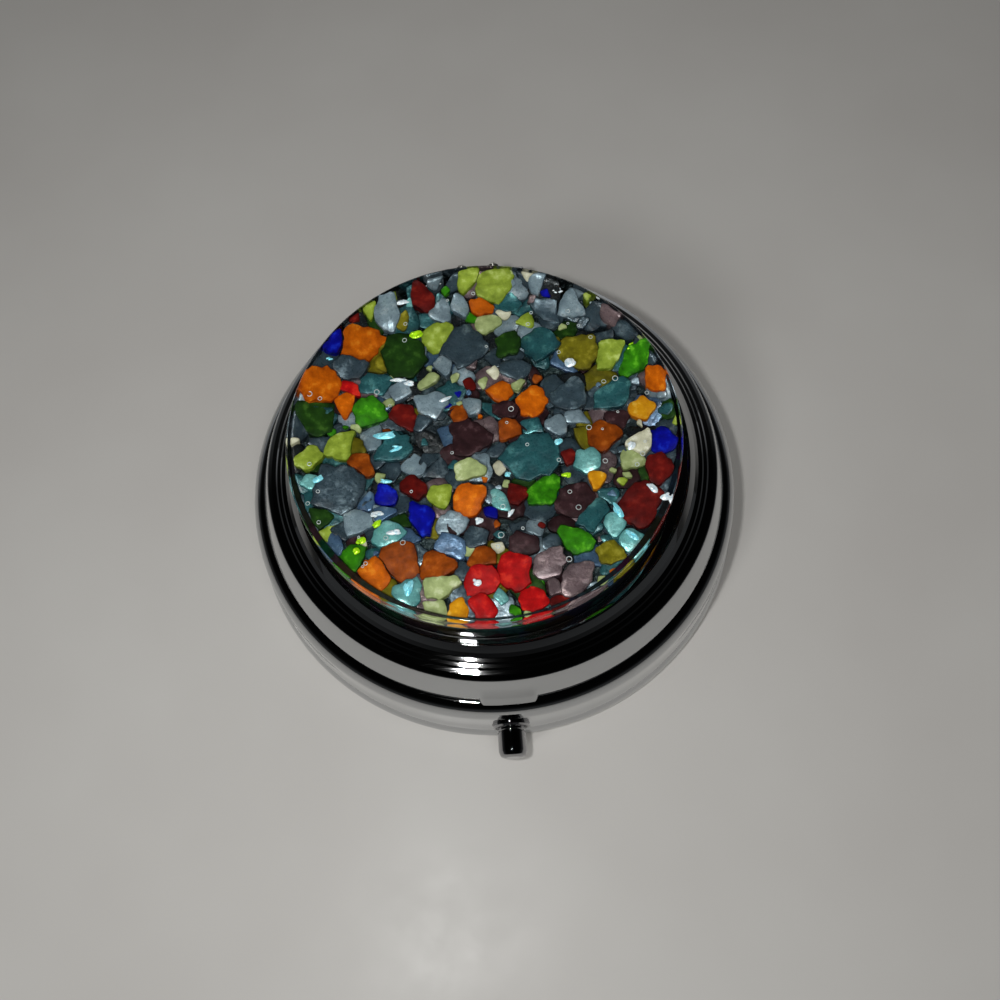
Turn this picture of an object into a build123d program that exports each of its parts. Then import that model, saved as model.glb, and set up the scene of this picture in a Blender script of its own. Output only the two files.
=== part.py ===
from build123d import *
import math
import os

# Travel pill organizer: a round push-button pill box with a fused-glass top.
# Millimetres.  The origin is the centre of the flat resting face, +Z is up,
# the push button faces -Y and the hinge is at the back, on +Y.

# ---- driving dimensions ----
BASE_RADIUS = 25.0  # widest ring, at the bottom bead
SHELL_WALL = 0.8  # base shell, pressed and plated
LID_WALL = 0.7  # lid shell, pressed and plated
BASE_TOP = 8.15  # rim of the base shell
LID_BOTTOM = 8.45  # lower edge of the lid shell
SEAT_Z = 13.0  # seat that the glass is glued to
GLASS_TOP = 18.2  # crown of the glass, and the overall height
GLASS_RADIUS = 18.5
GLASS_OFFSET = (-0.5, 0.1)  # the glass is glued slightly off the middle
RUN = 0.05  # radial clearance of a running fit
GAP = 0.05  # gap between pieces that are glued or clamped
BOND = 0.02  # gap between a soldered piece and the wall behind it

# ---- base shell profile ----
BEAD_MIDDLE = 1.4
FLOOR_RADIUS = BASE_RADIUS - BEAD_MIDDLE  # flat of the resting face
BEAD_TOP = 2.5
WALL_FOOT_RADIUS = 24.75
SHOULDER_RADIUS = 24.1
SHOULDER_Z = 7.3
RIM_OUTER = 23.3
RIM_INNER = 22.6
RIM_THICK = 0.25  # how far the rim's underside slopes down to the wall

# ---- lid shell profile ----
LID_EDGE_RADIUS = 23.1
ROLL_RADIUS = 22.25  # top of the lid's side band
ROLL_Z = 11.2
STEP_OUTER = 21.4
BEZEL_OUTER = 19.55
BEZEL_INNER = 19.05
BEZEL_TOP = 13.4
BEZEL_EDGE = 0.25  # height of the bezel's rounded edge
EDGE_CURL = 0.2  # how far the thumb lip hangs below the band
CEILING_Z = SEAT_Z - LID_WALL

# ---- stack on and under the lid's seat ----
GLUE_THICK = 0.2
FOIL_THICK = 0.1
MOSAIC_THICK = 1.0
MIRROR_RADIUS = 19.0
MIRROR_Z = 10.05
MIRROR_THICK = 1.2
LINER_OUTER = 20.9
LINER_INNER = 18.4
LINER_Z = 9.6
LINER_TOP = 11.5
PAD_RADIUS = 17.5
MIRROR_BEVEL = 0.3

# ---- hinge ----
HINGE_Y = 24.2
HINGE_Z = 7.3
PIN_RADIUS = 0.45
KNUCKLE_RADIUS = 0.85
NOTCH_HALF = 5.9  # half width of the notch that the knuckles sit in
NOTCH_Y = 23.1
NOTCH_Z = 6.25
NOTCH_DEPTH = 4.0
NOTCH_HEIGHT = 3.0
LEAF_THICK = 0.55
SPRING_HALF = 0.85  # half the space left for the torsion spring
LID_KNUCKLE_END = 2.5
BASE_KNUCKLE_START = 2.6
BASE_KNUCKLE_END = 5.0
RIVET_RADIUS = 0.4
RIVET_HEAD_RADIUS = 0.7  # flat head inside the wall
RIVET_HEAD_THICK = 0.3
RIVET_DOME_RADIUS = 0.62  # domed head on the leaf
RIVET_DOME_HEIGHT = 0.38
RIVET_REACH = 30  # a rivet's hole is cut this far out
BASE_RIVET_X = 3.9
BASE_RIVET_Z = 4.7
LID_RIVET_X = 1.7
LID_RIVET_Z = 10.35

# ---- push button and latch ----
BUTTON_Z = 4.0
BUTTON_RADIUS = 1.35
BUTTON_TIP_Y = -27.7
BUTTON_HEAD_END_Y = -23.6
SHANK_RADIUS = 0.85
STUD_RADIUS = 0.6
SHANK_END_Y = -21.1
STUD_END_Y = -18.15
HOOK_THICK = 0.4
HOOK_TOP = 7.2
CATCH_THICK = 0.4
CATCH_OUTER_Y = -22.25
BRACKET_Y = -18.85
BRACKET_THICK = 0.4
CLIP_THICK = 0.25
BUSH_RADIUS = 1.8
LATCH_COVER_Z = 7.3
LATCH_COVER_THICK = 0.35
COVER_SCREW_X = 4.1
COVER_SCREW_Y = -18.2
COVER_SLOT = (5.0, 3.4)  # opening for the catch
COVER_SLOT_Y = -22.0
SCREW_RADIUS = 0.43
SCREW_LENGTH = 2.8
SCREW_HEAD_RADIUS = 0.85
SCREW_HEAD_THICK = 0.4
SCREW_SLOT = (1.4, 0.28)
SCREW_SLOT_DEPTH = 0.2
BUSH_INNER_Y = -23.2
BUSH_LENGTH = 1.65
BUSH_CHAMFER = 0.15
HOOK_HALF = 1.5
HOOK_BOTTOM = 2.7
NOSE_SHOULDER = (1.8, 1.4)  # blank cut away beside the hook's nose
NOSE_INSET = 0.3
NOSE_SLOPE = 0.35
NOSE_THICK = 0.5
CLIP_RADIUS = 1.15
CLIP_SLOT = (0.7, 1.4)
BRACKET_HALF = 2.8
BRACKET_TOP = 6.4
BRACKET_FOOT = 2.4
BRACKET_CORNER = 1.2
CATCH_HALF = 2.0
CATCH_BOTTOM = 5.9
CATCH_TOP = 10.9
CATCH_WINDOW = (2.8, 1.3)
CATCH_WINDOW_Z = 7.15

# ---- compartment tray ----
TRAY_RADIUS = 22.3
TRAY_WALL = 1.0
TRAY_DIVIDER = 0.8
TRAY_FLOOR_Z = SHELL_WALL + GAP
TRAY_TOP = 7.9
COLLAR_RADIUS = 21.75  # raised collar that the lid closes over
COLLAR_TOP = 9.2
POCKET_HALF = 5.2  # half width of the latch pocket in the tray
POCKET_BACK_Y = -16.9
POCKET_DEEP = 10.0  # the pocket's cutter reaches out past the tray's edge
POCKET_LEDGE = 0.4  # ledge round the pocket that carries the latch cover
BOSS = (2.0, 1.8)  # screw bosses beside the pocket
BOSS_INSET = 0.25
BOSS_HOLE_RADIUS = 0.45
BOSS_HOLE_DEPTH = 3.2
TRAY_POST = 1.6
BAY_CORNER = 1.0
BAY_FLOOR_ROUND = 0.8

os.makedirs("parts", exist_ok=True)


def save(piece, name):
    """Label a finished piece and write it to its own file."""
    piece.part.label = name
    export_step(piece.part, f"parts/{name}.step")


def base_wall_radius(z):
    """Outer radius of the base shell's side wall at height z."""
    share = (z - BEAD_TOP) / (SHOULDER_Z - BEAD_TOP)
    return WALL_FOOT_RADIUS + share * (SHOULDER_RADIUS - WALL_FOOT_RADIUS)


def lid_wall_radius(z):
    """Outer radius of the lid shell's side band at height z."""
    share = (z - LID_BOTTOM) / (ROLL_Z - LID_BOTTOM)
    return LID_EDGE_RADIUS + share * (ROLL_RADIUS - LID_EDGE_RADIUS)


def base_outline(grow=0.0):
    """Outer profile of the base shell, from its floor edge up to its rim."""
    with BuildLine() as outline:
        Line((0, -grow), (FLOOR_RADIUS, -grow))
        TangentArc(
            (FLOOR_RADIUS, -grow),
            (BASE_RADIUS + grow, BEAD_MIDDLE),
            tangent=(1, 0),
        )
        TangentArc(
            (BASE_RADIUS + grow, BEAD_MIDDLE),
            (WALL_FOOT_RADIUS + grow, BEAD_TOP),
            tangent=(0, 1),
        )
        Line((WALL_FOOT_RADIUS + grow, BEAD_TOP), (SHOULDER_RADIUS + grow, SHOULDER_Z))
        TangentArc(
            (SHOULDER_RADIUS + grow, SHOULDER_Z),
            (RIM_OUTER, BASE_TOP + grow),
            tangent=(SHOULDER_RADIUS - WALL_FOOT_RADIUS, SHOULDER_Z - BEAD_TOP),
        )
    return outline


def lid_outline(grow=0.0):
    """Outer profile of the lid shell's side band and rolled edge."""
    with BuildLine() as outline:
        Line((LID_EDGE_RADIUS + grow, LID_BOTTOM), (ROLL_RADIUS + grow, ROLL_Z))
        ThreePointArc(
            (ROLL_RADIUS + grow, ROLL_Z),
            (ROLL_RADIUS - 0.22 + grow, ROLL_Z + 0.46 + grow),
            (STEP_OUTER + 0.15, ROLL_Z + 0.62 + grow),
        )
    return outline


def hole_along_y(radius, x, z, y_from, y_to):
    """Cut a round hole along Y in the part that is being built."""
    with BuildSketch(Plane.XZ.offset(-y_to)) as hole:
        with Locations((x, z)):
            Circle(radius)
    extrude(hole.sketch, amount=y_to - y_from, mode=Mode.SUBTRACT)


# ---- base shell: one pressed cup with a beaded foot and an inward rim ----
with BuildPart() as base_shell:
    with BuildSketch(Plane.XZ):
        with BuildLine():
            add(base_outline().line)
            Line((RIM_OUTER, BASE_TOP), (RIM_INNER, BASE_TOP))
            Line((RIM_INNER, BASE_TOP), (RIM_INNER, SHOULDER_Z))
            Line((RIM_INNER, SHOULDER_Z), (SHOULDER_RADIUS - SHELL_WALL, SHOULDER_Z - RIM_THICK))
            Line(
                (SHOULDER_RADIUS - SHELL_WALL, SHOULDER_Z - RIM_THICK),
                (WALL_FOOT_RADIUS - SHELL_WALL, BEAD_TOP),
            )
            ThreePointArc(
                (WALL_FOOT_RADIUS - SHELL_WALL, BEAD_TOP),
                (WALL_FOOT_RADIUS - SHELL_WALL - 0.28, 1.2),
                (FLOOR_RADIUS - 0.7, SHELL_WALL),
            )
            Line((FLOOR_RADIUS - 0.7, SHELL_WALL), (0, SHELL_WALL))
            Line((0, SHELL_WALL), (0, 0))
        make_face()
    revolve(axis=Axis.Z)
    # bore for the button's bush, and two holes for the hinge rivets
    hole_along_y(BUSH_RADIUS, 0, BUTTON_Z, -BASE_RADIUS - 1, -TRAY_RADIUS)
    for side in (-1, 1):
        hole_along_y(RIVET_RADIUS, side * BASE_RIVET_X, BASE_RIVET_Z, TRAY_RADIUS, BASE_RADIUS + 1)
    # notch in the back of the rim for the hinge knuckles
    with BuildSketch(Plane.XY.offset(NOTCH_Z)):
        with Locations((0, NOTCH_Y + NOTCH_DEPTH / 2)):
            Rectangle(2 * NOTCH_HALF, NOTCH_DEPTH)
    extrude(amount=NOTCH_HEIGHT, mode=Mode.SUBTRACT)
save(base_shell, "base_shell")

# ---- compartment tray: three bays round a post, with a pocket for the latch ----
with BuildPart() as compartment_tray:
    with BuildSketch(Plane.XY.offset(TRAY_FLOOR_Z)):
        Circle(TRAY_RADIUS)
        with Locations((0, POCKET_BACK_Y - POCKET_DEEP / 2)):
            Rectangle(2 * POCKET_HALF, POCKET_DEEP, mode=Mode.SUBTRACT)
    extrude(amount=TRAY_TOP - TRAY_FLOOR_Z)
    # collar that stands inside the lid's band, open at the latch
    with BuildSketch(Plane.XY.offset(TRAY_TOP)):
        Circle(COLLAR_RADIUS)
        with Locations((0, POCKET_BACK_Y - POCKET_DEEP / 2)):
            Rectangle(2 * (POCKET_HALF + POCKET_LEDGE), POCKET_DEEP, mode=Mode.SUBTRACT)
    extrude(amount=COLLAR_TOP - TRAY_TOP)
    with BuildSketch(Plane.XY.offset(TRAY_FLOOR_Z + TRAY_WALL)) as bays:
        Circle(TRAY_RADIUS - TRAY_WALL)
        with PolarLocations(TRAY_RADIUS / 2, 3, start_angle=30):
            Rectangle(TRAY_RADIUS, TRAY_DIVIDER, mode=Mode.SUBTRACT)
        Circle(TRAY_POST, mode=Mode.SUBTRACT)
        with Locations((0, POCKET_BACK_Y + TRAY_WALL - POCKET_DEEP / 2)):
            Rectangle(2 * (POCKET_HALF + TRAY_WALL), POCKET_DEEP, mode=Mode.SUBTRACT)
        fillet(bays.vertices(), radius=BAY_CORNER)
    extrude(amount=COLLAR_TOP, mode=Mode.SUBTRACT)
    bay_floors = compartment_tray.faces().filter_by(Axis.Z).group_by(Axis.Z)[1]
    fillet(bay_floors.edges(), radius=BAY_FLOOR_ROUND)
    # ledge in the pocket for the latch cover, with two screw bosses
    with BuildSketch(Plane.XY.offset(LATCH_COVER_Z - GAP)):
        with Locations((0, POCKET_BACK_Y + POCKET_LEDGE - POCKET_DEEP / 2)):
            Rectangle(2 * (POCKET_HALF + POCKET_LEDGE), POCKET_DEEP)
    extrude(amount=COLLAR_TOP - TRAY_TOP, mode=Mode.SUBTRACT)
    with BuildSketch(Plane.XY.offset(TRAY_FLOOR_Z)):
        for side in (-1, 1):
            with Locations((side * (COVER_SCREW_X + BOSS_INSET), COVER_SCREW_Y)):
                Rectangle(*BOSS)
    extrude(amount=LATCH_COVER_Z - GAP - TRAY_FLOOR_Z)
    with BuildSketch(Plane.XY.offset(LATCH_COVER_Z)):
        with Locations((-COVER_SCREW_X, COVER_SCREW_Y), (COVER_SCREW_X, COVER_SCREW_Y)):
            Circle(BOSS_HOLE_RADIUS)
    extrude(amount=-BOSS_HOLE_DEPTH, mode=Mode.SUBTRACT)
save(compartment_tray, "compartment_tray")

# ---- latch cover: a thin plate over the latch pocket, slotted for the catch ----
with BuildPart() as latch_cover:
    with BuildSketch(Plane.XY.offset(LATCH_COVER_Z)):
        Circle(TRAY_RADIUS)
        with Locations((0, POCKET_BACK_Y + POCKET_LEDGE - GAP - POCKET_DEEP / 2)):
            Rectangle(2 * (POCKET_HALF + POCKET_LEDGE - GAP), POCKET_DEEP, mode=Mode.INTERSECT)
        with Locations((0, COVER_SLOT_Y)):
            Rectangle(*COVER_SLOT, mode=Mode.SUBTRACT)
        with Locations((-COVER_SCREW_X, COVER_SCREW_Y), (COVER_SCREW_X, COVER_SCREW_Y)):
            Circle(BOSS_HOLE_RADIUS + GAP, mode=Mode.SUBTRACT)
    extrude(amount=LATCH_COVER_THICK)
save(latch_cover, "latch_cover")

# ---- two small screws that hold the latch cover ----
with BuildPart() as cover_screws:
    with BuildSketch(Plane.XY.offset(LATCH_COVER_Z - SCREW_LENGTH)):
        with Locations((-COVER_SCREW_X, COVER_SCREW_Y), (COVER_SCREW_X, COVER_SCREW_Y)):
            Circle(SCREW_RADIUS)
    extrude(amount=SCREW_LENGTH + LATCH_COVER_THICK)
    with BuildSketch(Plane.XY.offset(LATCH_COVER_Z + LATCH_COVER_THICK)):
        with Locations((-COVER_SCREW_X, COVER_SCREW_Y), (COVER_SCREW_X, COVER_SCREW_Y)):
            Circle(SCREW_HEAD_RADIUS)
    extrude(amount=SCREW_HEAD_THICK)
    for side in (-1, 1):
        with BuildSketch(Plane.XY.offset(LATCH_COVER_Z + LATCH_COVER_THICK + SCREW_SLOT_DEPTH)):
            with Locations((side * COVER_SCREW_X, COVER_SCREW_Y)):
                Rectangle(*SCREW_SLOT, rotation=30 * side)
        extrude(amount=SCREW_HEAD_THICK, mode=Mode.SUBTRACT)
save(cover_screws, "cover_screws")

# ---- button bush: the collar that the button slides in ----
with BuildPart() as button_bush:
    with BuildSketch(Plane.XZ.offset(-BUSH_INNER_Y)):
        with Locations((0, BUTTON_Z)):
            Circle(BUSH_RADIUS - BOND)
            Circle(BUTTON_RADIUS + RUN, mode=Mode.SUBTRACT)
    extrude(amount=BUSH_LENGTH)
    chamfer(button_bush.edges().filter_by(GeomType.CIRCLE).group_by(Axis.Y)[0], length=BUSH_CHAMFER)
save(button_bush, "button_bush")

# ---- push button: rounded head, shank, and a stud for the hook ----
with BuildPart() as push_button:
    with BuildSketch(Plane.YZ):
        with BuildLine():
            Line((STUD_END_Y, BUTTON_Z), (STUD_END_Y, BUTTON_Z + STUD_RADIUS))
            Line((STUD_END_Y, BUTTON_Z + STUD_RADIUS), (SHANK_END_Y, BUTTON_Z + STUD_RADIUS))
            Polyline(
                (SHANK_END_Y, BUTTON_Z + STUD_RADIUS),
                (SHANK_END_Y, BUTTON_Z + SHANK_RADIUS),
                (BUTTON_HEAD_END_Y, BUTTON_Z + SHANK_RADIUS),
                (BUTTON_HEAD_END_Y, BUTTON_Z + BUTTON_RADIUS),
                (BUTTON_TIP_Y + 0.55, BUTTON_Z + BUTTON_RADIUS),
            )
            ThreePointArc(
                (BUTTON_TIP_Y + 0.55, BUTTON_Z + BUTTON_RADIUS),
                (BUTTON_TIP_Y + 0.19, BUTTON_Z + BUTTON_RADIUS - 0.17),
                (BUTTON_TIP_Y, BUTTON_Z + BUTTON_RADIUS - 0.6),
            )
            Line((BUTTON_TIP_Y, BUTTON_Z + BUTTON_RADIUS - 0.6), (BUTTON_TIP_Y, BUTTON_Z))
            Line((BUTTON_TIP_Y, BUTTON_Z), (STUD_END_Y, BUTTON_Z))
        make_face()
    revolve(axis=Axis((0, 0, BUTTON_Z), (0, 1, 0)))
save(push_button, "push_button")

# ---- latch hook: a bent spring-steel plate that the button carries ----
HOOK_FRONT_Y = SHANK_END_Y
HOOK_BACK_Y = HOOK_FRONT_Y + HOOK_THICK
CATCH_INNER_Y = CATCH_OUTER_Y + CATCH_THICK
NOSE_TIP_Y = CATCH_INNER_Y + 0.15
with BuildPart() as latch_hook:
    with BuildSketch(Plane.YZ.offset(-HOOK_HALF)):
        with BuildLine():
            Polyline(
                (HOOK_FRONT_Y, HOOK_BOTTOM),
                (HOOK_BACK_Y, HOOK_BOTTOM),
                (HOOK_BACK_Y, HOOK_TOP),
                (HOOK_FRONT_Y, HOOK_TOP),
                (NOSE_TIP_Y, HOOK_TOP - NOSE_SLOPE),
                (NOSE_TIP_Y, HOOK_TOP - NOSE_THICK),
                (HOOK_FRONT_Y, HOOK_TOP - NOSE_THICK),
                close=True,
            )
        make_face()
    extrude(amount=2 * HOOK_HALF)
    for side in (-1, 1):
        with BuildSketch(Plane.YZ.offset(side * HOOK_HALF)):
            with Locations((HOOK_FRONT_Y, HOOK_TOP)):
                Rectangle(*NOSE_SHOULDER)
        extrude(amount=-side * NOSE_INSET, mode=Mode.SUBTRACT)
    hole_along_y(STUD_RADIUS + BOND, 0, BUTTON_Z, HOOK_FRONT_Y - 1, HOOK_BACK_Y + 1)
save(latch_hook, "latch_hook")

# ---- retaining clip: a split washer on the stud that holds the hook ----
with BuildPart() as retaining_clip:
    with BuildSketch(Plane.XZ.offset(-HOOK_BACK_Y)):
        with Locations((0, BUTTON_Z)):
            Circle(CLIP_RADIUS)
            Circle(STUD_RADIUS + BOND, mode=Mode.SUBTRACT)
        with Locations((0, BUTTON_Z - 1.0)):
            Rectangle(*CLIP_SLOT, mode=Mode.SUBTRACT)
    extrude(amount=-CLIP_THICK)
save(retaining_clip, "retaining_clip")

# ---- return spring: a short coil between the clip and the bracket ----
RETURN_WIRE = 0.1
RETURN_MEAN = STUD_RADIUS + 0.12 + RETURN_WIRE
RETURN_START_Y = HOOK_BACK_Y + CLIP_THICK + 0.02 + RETURN_WIRE
RETURN_LENGTH = BRACKET_Y - 0.02 - RETURN_WIRE - RETURN_START_Y
RETURN_TURNS = 3
with BuildPart() as return_spring:
    with BuildLine():
        coil = Helix(
            pitch=RETURN_LENGTH / RETURN_TURNS,
            height=RETURN_LENGTH,
            radius=RETURN_MEAN,
            center=(0, RETURN_START_Y, BUTTON_Z),
            direction=(0, 1, 0),
        )
    with BuildSketch(Plane(origin=coil @ 0, z_dir=coil % 0)):
        Circle(RETURN_WIRE)
    sweep(path=coil, is_frenet=True)
save(return_spring, "return_spring")

# ---- latch bracket: a bent plate on the floor that guides the button's stud ----
with BuildPart() as latch_bracket:
    with BuildSketch(Plane.YZ.offset(-BRACKET_HALF)):
        with BuildLine():
            Polyline(
                (BRACKET_Y - BRACKET_FOOT, SHELL_WALL),
                (BRACKET_Y + BRACKET_THICK, SHELL_WALL),
                (BRACKET_Y + BRACKET_THICK, BRACKET_TOP),
                (BRACKET_Y, BRACKET_TOP),
                (BRACKET_Y, SHELL_WALL + BRACKET_THICK),
                (BRACKET_Y - BRACKET_FOOT, SHELL_WALL + BRACKET_THICK),
                close=True,
            )
        make_face()
    extrude(amount=2 * BRACKET_HALF)
    hole_along_y(STUD_RADIUS + RUN, 0, BUTTON_Z, BRACKET_Y - 1, BRACKET_Y + 1)
    fillet(latch_bracket.edges().filter_by(Axis.Y).group_by(Axis.Z)[-1], radius=BRACKET_CORNER)
save(latch_bracket, "latch_bracket")

# ---- base hinge leaf: a plate on the back wall with two outer knuckles ----
LEAF_BOTTOM = 3.3
LEAF_FOOT_Y = 24.35  # where a knuckle stands on the leaf, clear of the wall
LEG_GROOVE_Z = 4.9
LEG_GROOVE_Y = 24.8
LEAF_BACK_Y = base_wall_radius(LEAF_BOTTOM + 0.2) + LEAF_THICK
with BuildPart() as base_hinge_leaf:
    with BuildSketch(Plane.YZ.offset(-BASE_KNUCKLE_END)):
        with BuildLine():
            Polyline(
                (23.4, LEAF_BOTTOM),
                (LEAF_BACK_Y - 0.2, LEAF_BOTTOM),
                (LEAF_BACK_Y, LEAF_BOTTOM + 0.2),
                (LEAF_BACK_Y, NOTCH_Z - 0.05),
                (23.4, NOTCH_Z - 0.05),
                close=True,
            )
        make_face()
    extrude(amount=2 * BASE_KNUCKLE_END)
    with BuildSketch(Plane.XZ):
        with BuildLine():
            add(base_outline(BOND).line)
            Line((RIM_OUTER, BASE_TOP + BOND), (0, BASE_TOP + BOND))
            Line((0, BASE_TOP + BOND), (0, -BOND))
        make_face()
    revolve(axis=Axis.Z, mode=Mode.SUBTRACT)
    for side in (-1, 1):
        with BuildSketch(Plane.YZ.offset(side * BASE_KNUCKLE_START)):
            with Locations((HINGE_Y, HINGE_Z)):
                Circle(KNUCKLE_RADIUS)
            with BuildLine():
                Polyline(
                    (HINGE_Y - KNUCKLE_RADIUS, HINGE_Z),
                    (HINGE_Y - KNUCKLE_RADIUS + 0.2, NOTCH_Z + 0.3),
                    (LEAF_FOOT_Y, NOTCH_Z + 0.1),
                    (LEAF_FOOT_Y, NOTCH_Z - 0.5),
                    (LEAF_BACK_Y, NOTCH_Z - 0.5),
                    (LEAF_BACK_Y, NOTCH_Z + 0.3),
                    (HINGE_Y + KNUCKLE_RADIUS, HINGE_Z),
                    close=True,
                )
            make_face()
        extrude(amount=side * (BASE_KNUCKLE_END - BASE_KNUCKLE_START))
    with BuildSketch(Plane.YZ.offset(-8)):
        with Locations((HINGE_Y, HINGE_Z)):
            Circle(PIN_RADIUS + BOND)
    extrude(amount=16, mode=Mode.SUBTRACT)
    for side in (-1, 1):
        hole_along_y(RIVET_RADIUS, side * BASE_RIVET_X, BASE_RIVET_Z, LINER_OUTER - 1, RIVET_REACH)
    # groove down the middle for the torsion spring's leg
    with BuildSketch(Plane.XY.offset(LEG_GROOVE_Z)):
        with Locations((0, LEG_GROOVE_Y + LEAF_THICK)):
            Rectangle(2 * SPRING_HALF, 2 * LEAF_THICK)
    extrude(amount=NOTCH_Z - LEG_GROOVE_Z, mode=Mode.SUBTRACT)
save(base_hinge_leaf, "base_hinge_leaf")

# ---- lid hinge leaf: a plate on the lid's back band with two inner knuckles ----
with BuildPart() as lid_hinge_leaf:
    with BuildSketch(Plane.YZ.offset(-LID_KNUCKLE_END)):
        with BuildLine():
            Polyline(
                (21.4, 9.2),
                (lid_wall_radius(9.2) + LEAF_THICK, 9.2),
                (lid_wall_radius(11.0) + LEAF_THICK, 11.0),
                (21.4, 11.0),
                close=True,
            )
        make_face()
    extrude(amount=2 * LID_KNUCKLE_END)
    for side in (-1, 1):
        with BuildSketch(Plane.YZ.offset(side * SPRING_HALF)):
            with BuildLine():
                Polyline(
                    (22.0, LID_BOTTOM + 0.05),
                    (NOTCH_Y + 0.2, LID_BOTTOM),
                    (HINGE_Y - KNUCKLE_RADIUS + 0.02, HINGE_Z + 0.2),
                    (HINGE_Y, HINGE_Z),
                    (HINGE_Y + 0.35, HINGE_Z + 0.77),
                    (HINGE_Y - 0.4, LID_BOTTOM + 0.45),
                    (lid_wall_radius(9.2) + LEAF_THICK, 9.2),
                    (22.0, 9.7),
                    close=True,
                )
            make_face()
        extrude(amount=side * (LID_KNUCKLE_END - SPRING_HALF))
    with BuildSketch(Plane.XZ):
        with BuildLine():
            add(lid_outline(BOND).line)
            Line((STEP_OUTER + 0.15, ROLL_Z + 0.62 + BOND), (0, ROLL_Z + 0.62 + BOND))
            Line((0, ROLL_Z + 0.62 + BOND), (0, LID_BOTTOM))
            Line((0, LID_BOTTOM), (LID_EDGE_RADIUS + BOND, LID_BOTTOM))
        make_face()
    revolve(axis=Axis.Z, mode=Mode.SUBTRACT)
    for side in (-1, 1):
        with BuildSketch(Plane.YZ.offset(side * SPRING_HALF)):
            with Locations((HINGE_Y, HINGE_Z)):
                Circle(KNUCKLE_RADIUS)
        extrude(amount=side * (LID_KNUCKLE_END - SPRING_HALF))
    with BuildSketch(Plane.YZ.offset(-8)):
        with Locations((HINGE_Y, HINGE_Z)):
            Circle(PIN_RADIUS + RUN)
    extrude(amount=16, mode=Mode.SUBTRACT)
    for side in (-1, 1):
        hole_along_y(RIVET_RADIUS, side * LID_RIVET_X, LID_RIVET_Z, LINER_OUTER - 1, RIVET_REACH)
save(lid_hinge_leaf, "lid_hinge_leaf")

# ---- hinge pin: a straight pin with a rounded head at each end ----
with BuildPart() as hinge_pin:
    with BuildSketch(Plane.XY.offset(HINGE_Z)):
        with BuildLine():
            Polyline(
                (-BASE_KNUCKLE_END - 0.55, HINGE_Y),
                (BASE_KNUCKLE_END + 0.55, HINGE_Y),
                (BASE_KNUCKLE_END + 0.45, HINGE_Y + 0.4),
                (BASE_KNUCKLE_END + 0.05, HINGE_Y + 0.7),
                (BASE_KNUCKLE_END + 0.05, HINGE_Y + PIN_RADIUS),
                (-BASE_KNUCKLE_END - 0.05, HINGE_Y + PIN_RADIUS),
                (-BASE_KNUCKLE_END - 0.05, HINGE_Y + 0.7),
                (-BASE_KNUCKLE_END - 0.45, HINGE_Y + 0.4),
                close=True,
            )
        make_face()
    revolve(axis=Axis((0, HINGE_Y, HINGE_Z), (1, 0, 0)))
save(hinge_pin, "hinge_pin")

# ---- torsion spring: a coil round the pin, with one leg on each leaf ----
TORSION_WIRE = 0.12
TORSION_MEAN = PIN_RADIUS + 0.06 + TORSION_WIRE
TORSION_TURNS = 3
TORSION_LENGTH = 1.2
with BuildPart() as torsion_spring:
    with BuildLine():
        turns = Helix(
            pitch=TORSION_LENGTH / TORSION_TURNS,
            height=TORSION_LENGTH,
            radius=TORSION_MEAN,
            center=(-TORSION_LENGTH / 2, HINGE_Y, HINGE_Z),
            direction=(1, 0, 0),
        )
    with BuildSketch(Plane(origin=turns @ 0, z_dir=turns % 0)):
        Circle(TORSION_WIRE)
    sweep(path=turns, is_frenet=True)
    with BuildSketch(Plane(origin=turns @ 1, z_dir=(0, -0.93, 0.36))):
        Circle(TORSION_WIRE)
    extrude(amount=0.9)
    base_leg_start = turns @ 0
    base_leg_end = Vector(base_leg_start.X, LEAF_BACK_Y + TORSION_WIRE + 0.03, 4.6)
    base_leg_bend = Vector(base_leg_start.X, HINGE_Y + TORSION_MEAN, HINGE_Z)
    with BuildLine():
        ThreePointArc(
            base_leg_start,
            Vector(
                base_leg_start.X,
                HINGE_Y + TORSION_MEAN * math.sin(math.radians(45)),
                HINGE_Z + TORSION_MEAN * math.cos(math.radians(45)),
            ),
            base_leg_bend,
        )
    with BuildSketch(Plane(origin=base_leg_start, z_dir=(0, 1, 0))):
        Circle(TORSION_WIRE)
    sweep()
    with BuildSketch(Plane(origin=base_leg_bend, z_dir=base_leg_end - base_leg_bend)):
        Circle(TORSION_WIRE)
    extrude(amount=(base_leg_end - base_leg_bend).length)
save(torsion_spring, "torsion_spring")


def wall_rivet(x, z, wall_y, leaf_y):
    """A rivet along Y: an inner flat head, a shank, and a domed outer head."""
    shank = RIVET_RADIUS - BOND
    dome_y = leaf_y + RIVET_DOME_HEIGHT
    with BuildSketch(Plane.XY.offset(z)) as profile:
        with BuildLine():
            Polyline(
                (x, wall_y - RIVET_HEAD_THICK),
                (x + RIVET_HEAD_RADIUS, wall_y - RIVET_HEAD_THICK),
                (x + RIVET_HEAD_RADIUS, wall_y - BOND),
                (x + shank, wall_y - BOND),
                (x + shank, leaf_y + BOND),
                (x + RIVET_DOME_RADIUS, leaf_y + BOND),
                (x + 0.7 * RIVET_DOME_RADIUS, dome_y - 0.1),
                (x, dome_y),
                close=True,
            )
        make_face()
    revolve(profile.sketch, axis=Axis((x, 0, z), (0, 1, 0)))


# ---- base hinge rivets ----
base_rivet_wall_y = math.sqrt((base_wall_radius(BASE_RIVET_Z) - SHELL_WALL) ** 2 - 4.6**2)
with BuildPart() as base_hinge_rivets:
    for side in (-1, 1):
        wall_rivet(side * BASE_RIVET_X, BASE_RIVET_Z, base_rivet_wall_y - 0.1, LEAF_BACK_Y)
save(base_hinge_rivets, "base_hinge_rivets")

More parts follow.
